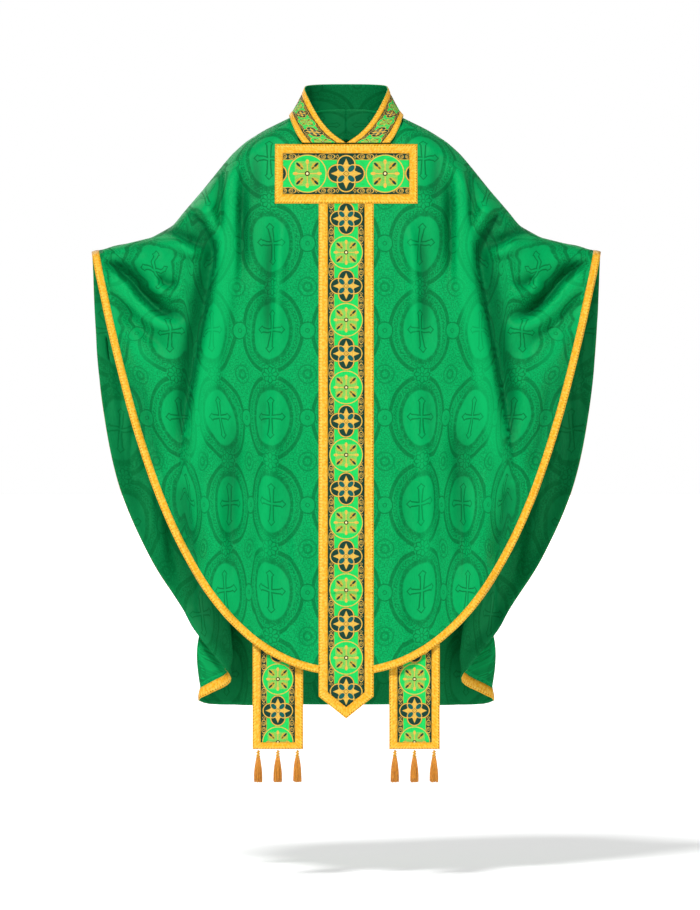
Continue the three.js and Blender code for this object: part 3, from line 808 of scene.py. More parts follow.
class Finishes:
    """The materials, made once and shared by the pieces."""

    made = {}

    @classmethod
    def get(cls, name):
        if not cls.made:
            cls.make()
        return cls.made[name]

    @classmethod
    def make(cls):
        cloth_settings, trim = bpy.context.scene.chasuble_cloth, bpy.context.scene.chasuble_trim
        weave, damask = weave_group(), damask_group()
        for name, ground, figure in (("damask", cloth_settings.ground, cloth_settings.figure),
                                     ("lining", cloth_settings.inside, cloth_settings.inside_figure)):
            material, tree, principled = blank_material(name, Specular_IOR_Level=0.07)
            place = cloth_place(tree)
            threads = placed_group(tree, weave, place, Size=1.3)
            shape = placed_group(tree, damask, place, Repeat_across=cloth_settings.repeat_across * MM,
                                 Repeat_down=cloth_settings.repeat_down * MM)
            mask = Wire(tree, shape.outputs["Figure"])
            colour = paint(tree, linear(scaled(ground)), linear(scaled(figure)), mask * 0.95)
            bright = linear([min(255, c * 255 * 1.1) for c in ground])
            colour = paint(tree, colour, bright, Wire(tree, shape.outputs["Light"]))
            worn = Wire(tree, threads.outputs["Slub"]).below(0.46, 0.2) * 0.16
            colour = paint(tree, colour, linear([c * 255 * 0.72 for c in figure]), worn)
            cloud = Wire(tree, threads.outputs["Cloud"]).below(0.42, 0.25) * 0.12
            colour = paint(tree, colour, linear([min(255, c * 255 * 1.12) for c in ground]), cloud)
            if name == "damask":
                # Painted shade in the fold valleys and painted highlight on the fold crests, read from the Relief
                # attribute of fold heights
                folds = tree.nodes.new("ShaderNodeAttribute")
                folds.attribute_name = "Relief"
                relief, shade = Wire(tree, folds.outputs["Fac"]), linear([c * 255 * 0.5 for c in ground])
                colour = paint(tree, colour, shade, relief.below(-0.014, 0.013) * 0.62)
                colour = paint(tree, colour, bright, (relief * -1.0).below(-0.012, 0.012) * 0.5)
            rough = mask * 0.16 + 0.46
            height = Wire(tree, threads.outputs["Height"]) * 0.35 - mask * 0.6
            roughen(tree, principled, colour, rough, height, 0.0005)
            cls.made[name] = material
        band = orphrey_group(trim)
        material, tree, principled = blank_material("orphrey", Specular_IOR_Level=0.15)
        place = cloth_place(tree)
        figure, threads = placed_group(tree, band, place), placed_group(tree, weave, place, Size=0.9)
        slub = Wire(tree, threads.outputs["Slub"])
        colour = paint(tree, figure.outputs["Color"], linear((40, 60, 20)), slub.below(0.42, 0.15) * 0.22)
        raised = Wire(tree, figure.outputs["Figure"])
        roughen(tree, principled, colour, raised * -0.18 + 0.6,
                raised * 0.8 + Wire(tree, threads.outputs["Height"]) * 0.5, 0.0006)
        cls.made["orphrey"] = material
        braid_look = galloon_group(trim)
        material, tree, principled = blank_material("galloon", Specular_IOR_Level=0.22)
        place = cloth_place(tree)
        look = placed_group(tree, braid_look, place)
        height = Wire(tree, look.outputs["Height"])
        roughen(tree, principled, look.outputs["Color"], height * 0.08 + 0.42, height, 0.0005)
        cls.made["galloon"] = material
        material, tree, principled = blank_material("tassel", Specular_IOR_Level=0.5, Sheen_Weight=0.15)
        x, _, z = object_place(tree)
        strand = noise(tree, joined(tree, x, z), 1.1, 2.0, (1, 0.12, 1))
        twist = ((z + x * 0.8) * 2.4).math("SINE")
        colour = paint(tree, linear(scaled(trim.tassel)), linear(scaled(trim.tassel_deep)),
                       strand.below(0.5, 0.14) * 0.75)
        colour = paint(tree, colour, linear(scaled(trim.galloon_light)), twist.below(-0.5, 0.4) * 0.25)
        roughen(tree, principled, colour, strand * 0.2 + 0.38, strand + twist * 0.3, 0.0004)
        cls.made["tassel"] = material
        material, tree, principled = blank_material("knotted cord", Specular_IOR_Level=0.5, Sheen_Weight=0.1)
        x, _, z = object_place(tree)
        ply = (z * 3.0 + x * 3.0).math("SINE")
        colour = paint(tree, linear(scaled(trim.galloon)), linear(scaled(trim.tassel_deep)), ply.below(-0.3, 0.5) * 0.7)
        roughen(tree, principled, colour, ply * 0.08 + 0.42, ply, 0.0003)
        cls.made["galloon_cord"] = material


# ---------------------------------------------------------------- settings


def tint(name, description, colour):
    return FloatVectorProperty(name=name, description=description, subtype="COLOR_GAMMA", size=3, min=0, max=1,
                               default=[c / 255 for c in colour])


class ChasubleClothSettings(bpy.types.PropertyGroup):
    ground: tint("Damask ground", "Colour of the damask's plain ground", (0, 164, 88))
    figure: tint("Damask figure", "Colour of the damask's woven figure", (0, 112, 56))
    inside: tint("Inside ground", "Colour of the inside of the cloth", (9, 134, 73))
    inside_figure: tint("Inside figure", "Colour of the figure on the inside", (0, 112, 56))
    repeat_across: FloatProperty(name="Repeat across", description="Width of one oval of the damask with its gap",
                                 default=0.162, min=0.05, unit="LENGTH", subtype="DISTANCE")
    repeat_down: FloatProperty(name="Repeat down", description="Height of one oval of the damask with its gap",
                               default=0.183, min=0.05, unit="LENGTH", subtype="DISTANCE")
    thickness: FloatProperty(name="Cloth thickness", description="Thickness of each layer of cloth",
                             default=0.001, min=0.0003, max=0.003, unit="LENGTH", subtype="DISTANCE")


class ChasubleTrimSettings(bpy.types.PropertyGroup):
    galloon: tint("Galloon", "Main colour of the gold braid", (250, 186, 26))
    galloon_deep: tint("Galloon, deep", "Orange threads of the braid", (232, 146, 20))
    galloon_light: tint("Galloon, light", "Pale threads of the braid", (255, 214, 92))
    gold: tint("Band gold", "Gold threads of the orphrey band", (232, 184, 74))
    ground: tint("Band ground", "Bright ground of the orphrey band", (24, 212, 92))
    dark: tint("Band dark", "Dark threads of the band", (6, 60, 48))
    teal: tint("Band eyes", "Four eyes of each quatrefoil", (4, 92, 88))
    brown: tint("Band outline", "Brown outlines of the band", (58, 44, 18))
    tassel: tint("Tassel", "Main colour of the tassels", (232, 150, 26))
    tassel_deep: tint("Tassel, deep", "Shaded threads of the tassels", (176, 92, 12))
    thickness: FloatProperty(name="Braid thickness", description="How far a braid stands off the cloth",
                             default=0.0013, min=0.0004, max=0.003, unit="LENGTH", subtype="DISTANCE")
    threads: bpy.props.IntProperty(name="Threads", description="Threads in each tassel", default=54, min=8, max=200)


class ChasubleStageSettings(bpy.types.PropertyGroup):
    floor: tint("Floor", "Colour of the floor", (244, 244, 244))
    key: FloatProperty(name="Key lamp", description="Strength of the main soft lamp", default=2.6, min=0)
    sky: FloatProperty(name="Sky", description="Strength of the even light all round", default=0.2, min=0)


# ---------------------------------------------------------------- the cloth pieces


def outward_normals(points, direction):
    n = normals_of(points)
    return n * np.sign((n * direction).sum(-1).mean())


def turned_in(points, way):
    """Whether the first face of this grid points against way."""
    return np.dot(np.cross(points[1, 0] - points[0, 0], points[0, 1] - points[0, 0]), way[0, 0]) < 0


def facing(side):
    """Surface of the front or back panel, and the way it looks."""
    return (front_y, FORWARD) if side == "front" else (back_y, -FORWARD)


def on_surface(surface, xs, zs):
    return np.stack([xs, surface(np.atleast_2d(xs), np.atleast_2d(zs)).reshape(np.shape(xs)), zs], -1)


def hanging(side):
    """Two body names and two points just under the chest, for the panel on that side."""
    return (SHOULDERS, FRONT if side == "front" else BACK, (0, 0, FRONT_FOLD + 0.04), (0, 0, FRONT_FOLD - 0.1))


def flat_size(flat):
    """Width, length and area of a flat pattern given as a grid."""
    a, b, c, d = flat[:-1, :-1], flat[1:, :-1], flat[1:, 1:], flat[:-1, 1:]
    cross = lambda p, q: np.abs(p[..., 0] * q[..., 1] - p[..., 1] * q[..., 0]) / 2
    area = (cross(b - a, c - a) + cross(c - a, d - a)).sum()
    width, length = flat[..., 0].max() - flat[..., 0].min(), flat[..., 1].max() - flat[..., 1].min()
    return (round(float(width), 3), round(float(length), 3)), round(float(area), 3)


def trim(look, name, points, uv, way, nodes, low=1.0, closed=False, **place):
    """A strip of galloon or orphrey band on a grid of points, with its material, on its body where one is given."""
    height = bpy.context.scene.chasuble_trim.thickness * low
    return finish(braid(name, points, uv, way, height, [Finishes.get(look)], closed), look, nodes, **place)


def across_strip(share, width, line):
    """Flat cloth of a strip that starts at line: across it and along it."""
    return np.stack(np.broadcast_arrays(share[..., 0] * width, lengths(line)[None]), -1)


def make_panel(side):
    """Cloth, lining and hem galloon of the front or the back."""
    points, flat, relief = panel(side)
    front = side == "front"
    outward = outward_normals(points, facing(side)[1])
    thick = bpy.context.scene.chasuble_cloth.thickness
    outer = cloth(f"{side}_panel", points, flat, [Finishes.get("damask")], thick, not front, relief)
    under = points - outward * (thick + LINING_GAP)
    inner = cloth(f"{side}_lining_cloth", under, flat, [Finishes.get("lining")], thick, not front)
    middle = points.shape[1] // 2
    for hand, sign in SIDES:
        columns = np.arange(middle + 7, points.shape[1]) if sign > 0 else np.arange(middle - 7, -1, -1)
        strip, way = (v[[-1, -2, -3, -4]][:, columns] for v in (points, outward))
        uv = across_strip(np.array(EDGE[:0:-1])[:, None, None], 1, strip[0])
        nodes = [f"{side}_hem_galloon_{hand}"] + ([f"wrist_galloon_{hand}"] if front else [])
        trim("galloon", f"{side}_hem_braid_{hand}", strip, uv, way, nodes, between=hanging(side))
    finish(outer, "damask", [f"{side}_yoke", f"{side}_skirt"], between=hanging(side))
    finish(inner, "lining", [f"{side}_yoke_lining", f"{side}_skirt_lining"], between=hanging(side))
    size, area = flat_size(flat)


def make_crossbar(side):
    """Band and mitred galloon frame of the T's bar."""
    surface, out = facing(side)
    half, top, low = BAR_HALF - 0.017, BAR_TOP - 0.0195, BAR_LOW + 0.0195
    xs, zs = np.meshgrid(np.linspace(-half, half, 67), np.linspace(top, low, 15))
    points = on_surface(surface, xs, zs)
    uv = np.stack([zs - (top + low) / 2, xs], -1) * BAR_FIGURE
    trim("orphrey", f"{side}_crossbar_orphrey", points, uv, outward_normals(points, out), [f"{side}_crossbar_band"],
         BAND_LOW, body=SHOULDERS)
    corners = np.array([(-1, 1), (1, 1), (1, -1), (-1, -1), (-1, 1)])
    outer_box, inner_box = (BAR_HALF, (BAR_TOP - BAR_LOW) / 2), (half, (top - low) / 2)
    centre = (BAR_TOP + BAR_LOW) / 2
    loops = []
    for w, h in (outer_box, inner_box):
        sides = [np.linspace(corners[k] * (w, h), corners[k + 1] * (w, h), n, endpoint=False)
                 for k, n in ((0, 64), (1, 28), (2, 64), (3, 28))]
        loops.append(np.vstack(sides) + (0, centre))
    share = np.linspace(0, 1, 5)[:, None, None]
    grid = blended(*loops, share)
    points = on_surface(surface, grid[..., 0], grid[..., 1])
    wrapped = np.concatenate([points, points[:, :1]], 1)
    trim("galloon", f"{side}_crossbar_braid", points, across_strip(share, 0.018, points[0]),
         outward_normals(wrapped, out)[:, :-1], [f"{side}_crossbar_galloon"], closed=True, body=SHOULDERS)


def make_column(side):
    """Band and galloons of the T's stem; on the front they stop where the pointed end begins."""
    (surface, out), front = facing(side), side == "front"
    down = np.linspace(BAR_LOW - 0.0003, FRONT_SPLIT if front else BACK_END, 150)
    zs, xs = np.meshgrid(down, BAND_ACROSS)
    points = on_surface(surface, xs, zs)
    nodes = ["front_column_band_upper"] if front else ["back_column_band_upper", "back_column_band_lower"]
    trim("orphrey", f"{side}_column_orphrey", points, np.stack([xs, zs - FIRST_FIGURE], -1),
         outward_normals(points, out), nodes, BAND_LOW, between=hanging(side))
    for hand, sign in SIDES:
        zs, xs = np.meshgrid(down, np.linspace(COLUMN_HALF, BAND_HALF, 5) * sign)
        points = on_surface(surface, xs, zs)
        nodes = [f"{side}_column_galloon_upper_{hand}"] + ([] if front else [f"back_column_galloon_lower_{hand}"])
        trim("galloon", f"{side}_column_braid_{hand}", points, np.stack([COLUMN_HALF - np.abs(xs), -zs], -1),
             outward_normals(points, out), nodes, between=hanging(side))


def mitred(corners, counts):
    """Points along an open line with sharp corners."""
    last = len(counts) - 1
    return np.vstack([np.linspace(corners[k], corners[k + 1], n, endpoint=k == last) for k, n in enumerate(counts)])


def make_point():
    """Lower end of the front stem, which hangs free under the hem."""
    fold = (FRONT, POINT, (0, 0, POINT_FOLD + 0.008), (0, 0, POINT_FOLD - 0.022))
    slope = (TIP_POINT - TIP_SIDES) / COLUMN_HALF
    inner_tip = TIP_POINT + 0.0243
    end = inner_tip - slope * np.abs(BAND_ACROSS)
    zs = FRONT_SPLIT + (end[:, None] - FRONT_SPLIT) * np.linspace(0, 1, 70)[None]
    xs = np.broadcast_to(BAND_ACROSS[:, None], zs.shape)
    points = on_surface(front_y, xs, zs)
    trim("orphrey", "front_point_orphrey", points, np.stack([xs, zs - FIRST_FIGURE], -1),
         outward_normals(points, FORWARD), ["front_column_band_lower", "front_point_band"], BAND_LOW, between=fold)
    inner_side = inner_tip - slope * BAND_HALF
    outer = [(-COLUMN_HALF, FRONT_SPLIT), (-COLUMN_HALF, TIP_SIDES), (0, TIP_POINT), (COLUMN_HALF, TIP_SIDES),
             (COLUMN_HALF, FRONT_SPLIT)]
    inner = [(-BAND_HALF, FRONT_SPLIT), (-BAND_HALF, inner_side), (0, inner_tip), (BAND_HALF, inner_side),
             (BAND_HALF, FRONT_SPLIT)]
    share = np.linspace(0, 1, 5)[:, None, None]
    grid = blended(*(mitred(p, (60, 26, 26, 60)) for p in (outer, inner)), share)
    points = on_surface(front_y, grid[..., 0], grid[..., 1])
    nodes = ["front_column_galloon_lower_right", "front_column_galloon_lower_left", "front_point_galloon"]
    trim("galloon", "front_point_braid", points, across_strip(share, 0.019, points[0]),
         outward_normals(points, FORWARD), nodes, between=fold)
    xs = np.broadcast_to(np.linspace(-COLUMN_HALF, COLUMN_HALF, 25)[None] * 0.998, (22, 25))
    low = TIP_POINT - slope * np.abs(xs) + 0.0002
    zs = POINT_FOLD + (low - POINT_FOLD) * np.linspace(0, 1, 22)[:, None]
    points = on_surface(front_y, xs, zs) + (0, 0.0002, 0)
    flat = points[..., [0, 2]]
    o = cloth("front_point_backing", points, flat, [Finishes.get("lining")], 0.0016)
    finish(o, "lining", ["front_point_lining"], between=fold)
    size, area = flat_size(flat)


# ---------------------------------------------------------------- collar

# Seam on the neckline and free edge, from the front of the V round to the middle of the back
COLLAR = [
    ((0.092, -0.089, -0.054), (0.0012, -0.0905, -0.054)), ((0.103, -0.083, -0.038), (0.03, -0.086, -0.033)),
    ((0.113, -0.068, -0.016), (0.051, -0.076, -0.009)), ((0.118, -0.044, -0.002), (0.0685, -0.058, 0.02)),
    ((0.12, -0.014, 0.006), (0.081, -0.034, 0.046)), ((0.1185, 0.012, 0.0085), (0.087, -0.004, 0.062)),
    ((0.11, 0.04, 0.011), (0.084, 0.028, 0.071)), ((0.084, 0.068, 0.0125), (0.066, 0.055, 0.075)),
    ((0.043, 0.087, 0.0135), (0.036, 0.074, 0.077)), ((0, 0.093, 0.014), (0, 0.08, 0.0775))]
GALLOON_SHARE = 0.2
COLLAR_TUCK = 0.018  # how far the collar goes down inside the neck edge
COLLAR_BOW = 0.002  # how far it bows outwards between its edges
COLLAR_TOP = 0.0006  # from the line of the collar to its outer face
COLLAR_FIGURE = 0.0295  # one figure of the band on the narrow collar


def make_collar():
    """Stand-up shawl collar with its band and two galloons."""
    seam, edge = (spline([s[k] for s in COLLAR], 90) for k in (0, 1))
    seam, edge = (np.vstack([h, h[-2::-1] * (-1, 1, 1)]) for h in (seam, edge))

    def at(share):
        share = np.asarray(share)[:, None, None]
        line = blended(seam[None], edge[None], share)
        return line + unit(line * (1, 1, 0)) * COLLAR_BOW * np.sin(np.pi * share)

    tucked = COLLAR_TUCK * (0.1 + 0.9 * smooth(-0.088, -0.072, seam[:, 1]))
    inside, down = seam * (0.985, 0.985, 1), tucked[:, None] * (0, 0, 1)
    full = np.concatenate([[inside - down, inside - down * 0.5], at(np.linspace(0, 1, 23))])
    run = lengths(full[12])
    width = np.linalg.norm(seam - edge, axis=1) + tucked
    uv = np.stack([np.linspace(0, 1, 25)[:, None] * width[None], np.broadcast_to(run, (25, len(run)))], -1)
    away = full.mean((0, 1)) * (0, 0, 1)
    out = lambda p: outward_normals(p, (p - away) * (1, 1, 0))
    points = full + out(full) * COLLAR_TOP
    flip = turned_in(full[8:], out(full)[8:])
    stand = cloth("collar", points, uv, [Finishes.get("damask"), Finishes.get("lining")], 0.0018, flip=flip)
    finish(stand, "damask", ["collar_stand"], body=SHOULDERS)
    for name, low, high in (("base", 0.004, GALLOON_SHARE), ("neck", 1 - GALLOON_SHARE, 0.997)):
        strip = at(np.linspace(low, high, 5))
        strip = strip + out(strip) * COLLAR_TOP
        u = np.linspace(0, 0.017, 5) if name == "base" else np.linspace(0.017, 0, 5)
        strip_uv = np.stack(np.broadcast_arrays(u[:, None], run[None]), -1)
        trim("galloon", f"collar_{name}_braid", strip, strip_uv, out(strip),
                          [f"collar_{name}_galloon"], body=SHOULDERS)
    middle = len(run) // 2
    for hand, columns in (("left", slice(0, middle + 1)), ("right", slice(middle, None))):
        shares = np.linspace(GALLOON_SHARE + 0.003, 1 - GALLOON_SHARE - 0.003, 11)
        strip = at(shares)[:, columns]
        way = out(at(shares))[:, columns]
        strip = strip + way * COLLAR_TOP
        along = (run[columns] - run[middle]) * FIGURE_STEP / COLLAR_FIGURE + FIGURE_STEP
        strip_uv = np.stack(np.broadcast_arrays(np.linspace(-0.0382, 0.0382, 11)[:, None], along[None]), -1)
        trim("orphrey", f"collar_orphrey_{hand}", strip, strip_uv, way, [f"collar_band_{hand}"], 0.85,
                          body=SHOULDERS)


# ---------------------------------------------------------------- stole and tassels

STOLE_X, STOLE_Y = 0.143, -0.152  # where each end hangs
STOLE_LOW, STOLE_FOOT, STOLE_TOP = -1.3255, 0.014, -0.8  # lower edge, its galloon's height, and where the band stops
STOLE_HALF, STOLE_BAND = 0.0528, 0.0358  # half width of the cloth and of the band
# Centre line of the stole and the way from it to its edge, from its foot up to the back of the neck
STRAP = [
    (STOLE_X, STOLE_Y, STOLE_LOW, STOLE_HALF, 0, 0), (STOLE_X, STOLE_Y, -1.17, STOLE_HALF, 0, 0),
    (STOLE_X, -0.146, -0.8, 0.0525, 0, 0), (STOLE_X, -0.136, -0.363, 0.05, 0, 0),
    (0.132, -0.122, -0.182, 0.044, 0, 0), (0.118, -0.091, -0.09, 0.04, 0, 0),
    (0.111, -0.066, -0.052, 0.038, 0, -0.006), (0.108, -0.026, -0.026, 0.035, 0, -0.014),
    (0.106, 0.014, -0.018, 0.033, 0.003, -0.017), (0.092, 0.054, -0.016, 0.015, 0.014, -0.027),
    (0.054, 0.077, -0.011, 0.006, 0.004, -0.033), (-0.0015, 0.08, -0.009, 0, 0, -0.034)]
STOLE_FIRST, STOLE_FIGURE = -1.245, 1.071  # height of one figure's middle, and how much the band is narrowed
TASSEL_PLACES = (-0.041, 0.0, 0.041)
GOLDEN_ANGLE, CORD = 2.399963, 0.0011  # turn from thread to thread, and radius of a tassel's cord


def make_stole(hand, sign):
    """One half of the stole, with its band and the galloon round its end."""
    line = spline(STRAP, 240)
    fold = (SHOULDERS, f"stole_end_{hand}", (0, 0, STOLE_FOLD + 0.006), (0, 0, STOLE_FOLD - 0.024))
    mirror = np.array([sign, 1, 1])
    share = np.linspace(-1, 1, 13)[:, None, None]
    points = (line[None, :, :3] + line[None, :, 3:] * share) * mirror
    n = normals_of(points)
    n *= -np.sign(n[6, 0, 1])
    points = points + n * 0.0012
    uv = across_strip(share, STOLE_HALF, line[:, :3])
    flip = turned_in(points, n)
    strap = cloth(f"stole_{hand}", points, uv, [Finishes.get("damask"), Finishes.get("lining")], 0.0022, flip=flip)
    finish(strap, "damask", [f"stole_strap_{hand}", f"stole_end_{hand}"], between=fold)
    low_part = line[:, 2] < STOLE_TOP + 0.01
    y_at = lambda z: np.interp(z, line[low_part, 2], line[low_part, 1]) - 0.0013
    top, foot = STOLE_TOP, STOLE_LOW + STOLE_FOOT
    zs, xs = np.meshgrid(np.linspace(top, foot, 90), np.linspace(-STOLE_BAND + 0.0002, STOLE_BAND - 0.0002, 13))
    place = np.stack([xs + STOLE_X * sign, y_at(zs), zs], -1)
    band_uv = np.stack([xs, zs - STOLE_FIRST], -1) * STOLE_FIGURE
    band = trim("orphrey", f"stole_orphrey_{hand}", place, band_uv, outward_normals(place, FORWARD),
                [f"stole_orphrey_upper_{hand}", f"stole_end_band_{hand}"], BAND_LOW, between=fold)
    outer = [(-STOLE_HALF, top), (-STOLE_HALF, STOLE_LOW), (STOLE_HALF, STOLE_LOW), (STOLE_HALF, top)]
    inner = [(-STOLE_BAND, top), (-STOLE_BAND, foot), (STOLE_BAND, foot), (STOLE_BAND, top)]
    across = np.linspace(0, 1, 5)[:, None, None]
    grid = blended(*(mitred(p, (90, 24, 90)) for p in (outer, inner)), across)
    place = np.stack([grid[..., 0] + STOLE_X * sign, y_at(grid[..., 1]), grid[..., 1]], -1)
    galloon = trim("galloon", f"stole_braid_{hand}", place, across_strip(across, 0.017, place[0]),
                   outward_normals(place, FORWARD), [f"stole_end_galloon_{hand}"], between=fold)


def tube(path, radius, sides=6):
    """Points of a tube round a path, and its faces, with closed ends."""
    path, radius = np.asarray(path, float), np.broadcast_to(radius, len(path))
    tangent = unit(np.gradient(path, axis=0))
    side = unit(np.cross(tangent, (0.3, 0.9, 0.1)))
    other = np.cross(tangent, side)
    a = (np.arange(sides) * math.tau / sides)[None, :, None]
    ring = path[:, None] + radius[:, None, None] * (np.cos(a) * side[:, None] + np.sin(a) * other[:, None])
    faces = [tuple(f) for f in grid_faces(len(path), sides, close=True)]
    faces += [tuple(range(sides)), tuple(range((len(path) - 1) * sides, len(path) * sides))[::-1]]
    return ring.reshape(-1, 3), faces


def from_tubes(name, tubes, material):
    verts, faces, count = [], [], 0
    for v, f in tubes:
        faces += [tuple(i + count for i in face) for face in f]
        verts.append(v)
        count += len(v)
    return faced_out(new_object(name, np.vstack(verts), faces, materials=[material]))


def make_tassel(hand, number, x):
    """Twisted cord, knotted head and skirt of threads."""
    rng = np.random.default_rng(20 + number + (7 if hand == "left" else 0))
    y, top = STOLE_Y, STOLE_LOW
    t = np.linspace(0, 1, 40)
    strands = []
    for phase in (0, math.pi):
        turn = t * 5 * math.pi + phase
        strand = (x + CORD * np.cos(turn), y + CORD * np.sin(turn), top - 0.0026 - t * 0.0125)
        strands.append(tube(np.stack(strand, -1), CORD))
    a = np.linspace(0, math.tau, 25)
    for height, size, tilt in ((0.0065, 0.0028, 0.5), (0.0088, 0.0031, -0.5), (0.0112, 0.0029, 0.45),
                               (0.0148, 0.0033, 0.0)):
        ring = (x + size * np.cos(a), y + size * np.sin(a), top - height + size * math.sin(tilt) * np.cos(a))
        strands.append(tube(np.stack(ring, -1), 0.0014, 8))
    knot = from_tubes(f"tassel_{hand}_{number}_head", strands, Finishes.get("galloon_cord"))
    finish(knot, "tassel", [f"tassel_{hand}_{number}_knot"], body=f"tassel_{hand}_{number}")
    threads, count = [], bpy.context.scene.chasuble_trim.threads
    for k in range(count):
        angle = k * GOLDEN_ANGLE + rng.uniform(-0.1, 0.1)
        share = math.sqrt((k + 0.5) / count)
        head, foot = 0.0034 * share, (0.0088 + rng.uniform(-0.0006, 0.0006)) * share
        s = np.linspace(0, 1, 7)
        spread = head + (foot - head) * s**0.8 + 0.0012 * np.sin(s * math.pi) * share
        wave = rng.uniform(-0.0003, 0.0003, 2)[:, None] * np.sin(s * 7)
        length = 0.0525 + rng.uniform(-0.0022, 0.0008)
        path = np.stack([x + np.cos(angle) * spread + wave[0], y + np.sin(angle) * spread + wave[1],
                         top - 0.0166 - s * length], -1)
        threads.append(tube(path, 0.00078 + 0.0001 * share, 5))
    skirt = from_tubes(f"tassel_{hand}_{number}_threads", threads, Finishes.get("tassel"))
    finish(skirt, "tassel", [f"tassel_{hand}_{number}_skirt"], body=f"tassel_{hand}_{number}")


# ---------------------------------------------------------------- stage

LENS = 300.0  # a long lens, so that near and far parts of the cloth keep their sizes
EYE, VIEW_WIDTH = (0.008, -0.71), 1.911  # the camera's place across and up, and how wide it sees
FLOOR, FLOOR_SIZE = -1.6, 300


def make_stage():
    """Floor, even white surroundings, three lamps and the camera."""
    scene = bpy.context.scene
    settings = scene.chasuble_stage
    bpy.ops.object.select_all(action="DESELECT")
    bpy.ops.mesh.primitive_plane_add(size=FLOOR_SIZE, location=(0, 0, FLOOR))
    floor = bpy.context.active_object
    floor.name = floor.data.name = "floor"
    bpy.ops.object.transform_apply(location=True, rotation=True, scale=True)
    material, tree, principled = blank_material("floor", Roughness=0.85, Emission_Strength=1.0)
    grain = noise(tree, tree.nodes.new("ShaderNodeTexCoord").outputs["Object"], 3.0)
    far = (object_place(tree)[1] * -0.001).below(-9.0, 8.0)  # the floor pales into the distance
    tree.links.new(paint(tree, (0.42, 0.42, 0.42, 1), (0.8, 0.8, 0.8, 1), far), principled.inputs["Emission Color"])
    shade = linear(scaled(settings.floor))
    tree.links.new(paint(tree, shade, [c * 0.97 for c in shade[:3]] + [1.0], grain), principled.inputs["Base Color"])
    floor.data.materials.append(material)
    world = bpy.data.worlds.new("Studio")
    scene.world = world
    world.use_nodes = True
    tree = world.node_tree
    soft, seen = tree.nodes["Background"], tree.nodes.new("ShaderNodeBackground")
    soft.inputs["Color"].default_value = seen.inputs["Color"].default_value = (1, 1, 1, 1)
    soft.inputs["Strength"].default_value = settings.sky
    path, mix = tree.nodes.new("ShaderNodeLightPath"), tree.nodes.new("ShaderNodeMixShader")
    tree.links.new(path.outputs["Is Camera Ray"], mix.inputs[0])
    tree.links.new(soft.outputs[0], mix.inputs[1])
    tree.links.new(seen.outputs[0], mix.inputs[2])
    tree.links.new(mix.outputs[0], tree.nodes["World Output"].inputs["Surface"])
    for name, towards, spread, power in (("key", (0.3, 1.0, -0.95), 9, 1.0), ("fill", (-0.8, 1.0, -0.1), 40, 0.1),
                                         ("behind", (0.2, -1.0, -0.3), 40, 0.3)):
        lamp = bpy.data.lights.new(name, "SUN")
        lamp.energy, lamp.angle = settings.key * power, math.radians(spread)
        o = bpy.data.objects.new(name, lamp)
        scene.collection.objects.link(o)
        x, y, z = towards
        o.rotation_euler = (math.atan2(math.hypot(x, y), -z), 0, math.atan2(y, x) - math.pi / 2)
    camera = bpy.data.cameras.new("camera")
    camera.lens, camera.sensor_width = LENS, 36.0
    camera.clip_end = 200
    o = bpy.data.objects.new("camera", camera)
    scene.collection.objects.link(o)
    o.location = (EYE[0], -0.1 - VIEW_WIDTH * LENS / 36, EYE[1])
    o.rotation_euler = (math.pi / 2, 0, 0)
    scene.camera = o
    scene.view_settings.view_transform = "Standard"


# ---------------------------------------------------------------- the add-on


class ChasubleFront(bpy.types.Operator):
    """Front panel with its lining and hem galloons"""

    bl_idname = "chasuble.front"
    bl_label = "Front panel"

    def execute(self, context):
        make_panel("front")
        return {"FINISHED"}


class ChasubleBack(bpy.types.Operator):
    """Back panel with its lining and hem galloons"""

    bl_idname = "chasuble.back"
    bl_label = "Back panel"

    def execute(self, context):
        make_panel("back")
        return {"FINISHED"}


class ChasubleCrossbars(bpy.types.Operator):
    """Crossbars of the two T orphreys"""

    bl_idname = "chasuble.crossbars"
    bl_label = "Crossbars"

    def execute(self, context):
        make_crossbar("front")
        make_crossbar("back")
        return {"FINISHED"}


class ChasubleColumns(bpy.types.Operator):
    """Stems of the two T orphreys, with the front's pointed end"""

    bl_idname = "chasuble.columns"
    bl_label = "Stems and point"

    def execute(self, context):
        make_column("front")
        make_column("back")
        make_point()
        return {"FINISHED"}


class ChasubleCollar(bpy.types.Operator):
    """Shawl collar with its band and galloons"""

    bl_idname = "chasuble.collar"
    bl_label = "Collar"

    def execute(self, context):
        make_collar()
        return {"FINISHED"}


class ChasubleStole(bpy.types.Operator):
    """Both halves of the stole"""

    bl_idname = "chasuble.stole"
    bl_label = "Stole"

    def execute(self, context):
        for hand, sign in SIDES:
            make_stole(hand, sign)
        return {"FINISHED"}


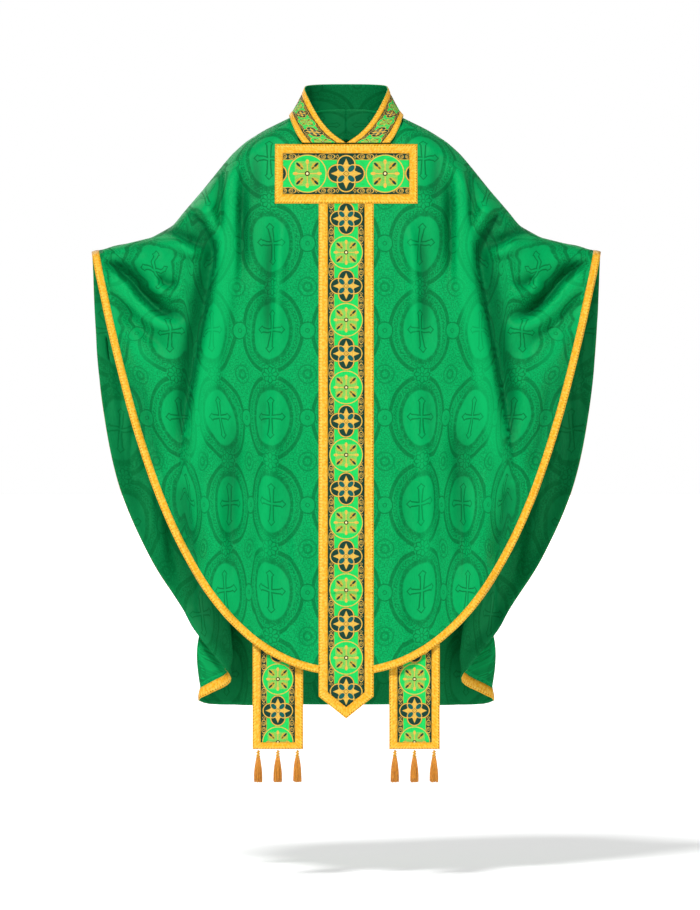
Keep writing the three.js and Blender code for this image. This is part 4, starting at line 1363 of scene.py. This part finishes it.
class ChasubleTassels(bpy.types.Operator):
    """Three tassels on each end of the stole"""

    bl_idname = "chasuble.tassels"
    bl_label = "Tassels"

    def execute(self, context):
        for hand, sign in SIDES:
            for number, shift in enumerate(TASSEL_PLACES, 1):
                make_tassel(hand, number, STOLE_X * sign + shift)
        return {"FINISHED"}


class ChasubleStage(bpy.types.Operator):
    """Floor, soft lamps and camera"""

    bl_idname = "chasuble.stage"
    bl_label = "Stage"

    def execute(self, context):
        make_stage()
        return {"FINISHED"}


PIECES = (ChasubleFront, ChasubleBack, ChasubleCrossbars, ChasubleColumns, ChasubleCollar, ChasubleStole,
          ChasubleTassels, ChasubleStage)


class ChasublePanel(bpy.types.Panel):
    """Settings and pieces of the chasuble"""

    bl_idname = "VIEW3D_PT_chasuble"
    bl_label = "Chasuble"
    bl_space_type = "VIEW_3D"
    bl_region_type = "UI"
    bl_category = "Chasuble"

    def draw(self, context):
        for title, settings in (("Cloth", context.scene.chasuble_cloth), ("Trim", context.scene.chasuble_trim),
                                ("Stage", context.scene.chasuble_stage)):
            box = self.layout.box()
            box.label(text=title)
            for key in settings.__annotations__:
                box.prop(settings, key)
        for piece in PIECES:
            self.layout.operator(piece.bl_idname)


CLASSES = (ChasubleClothSettings, ChasubleTrimSettings, ChasubleStageSettings) + PIECES + (ChasublePanel,)


def register():
    for c in CLASSES:
        bpy.utils.register_class(c)
    bpy.types.Scene.chasuble_cloth = PointerProperty(type=ChasubleClothSettings)
    bpy.types.Scene.chasuble_trim = PointerProperty(type=ChasubleTrimSettings)
    bpy.types.Scene.chasuble_stage = PointerProperty(type=ChasubleStageSettings)


def unregister():
    del bpy.types.Scene.chasuble_stage, bpy.types.Scene.chasuble_trim, bpy.types.Scene.chasuble_cloth
    for c in reversed(CLASSES):
        bpy.utils.unregister_class(c)


def main():
    register()
    bpy.ops.chasuble.stage()
    bpy.ops.chasuble.front()
    bpy.ops.chasuble.back()
    bpy.ops.chasuble.crossbars()
    bpy.ops.chasuble.columns()
    bpy.ops.chasuble.collar()
    bpy.ops.chasuble.stole()
    bpy.ops.chasuble.tassels()


if __name__ == "__main__":
    main()
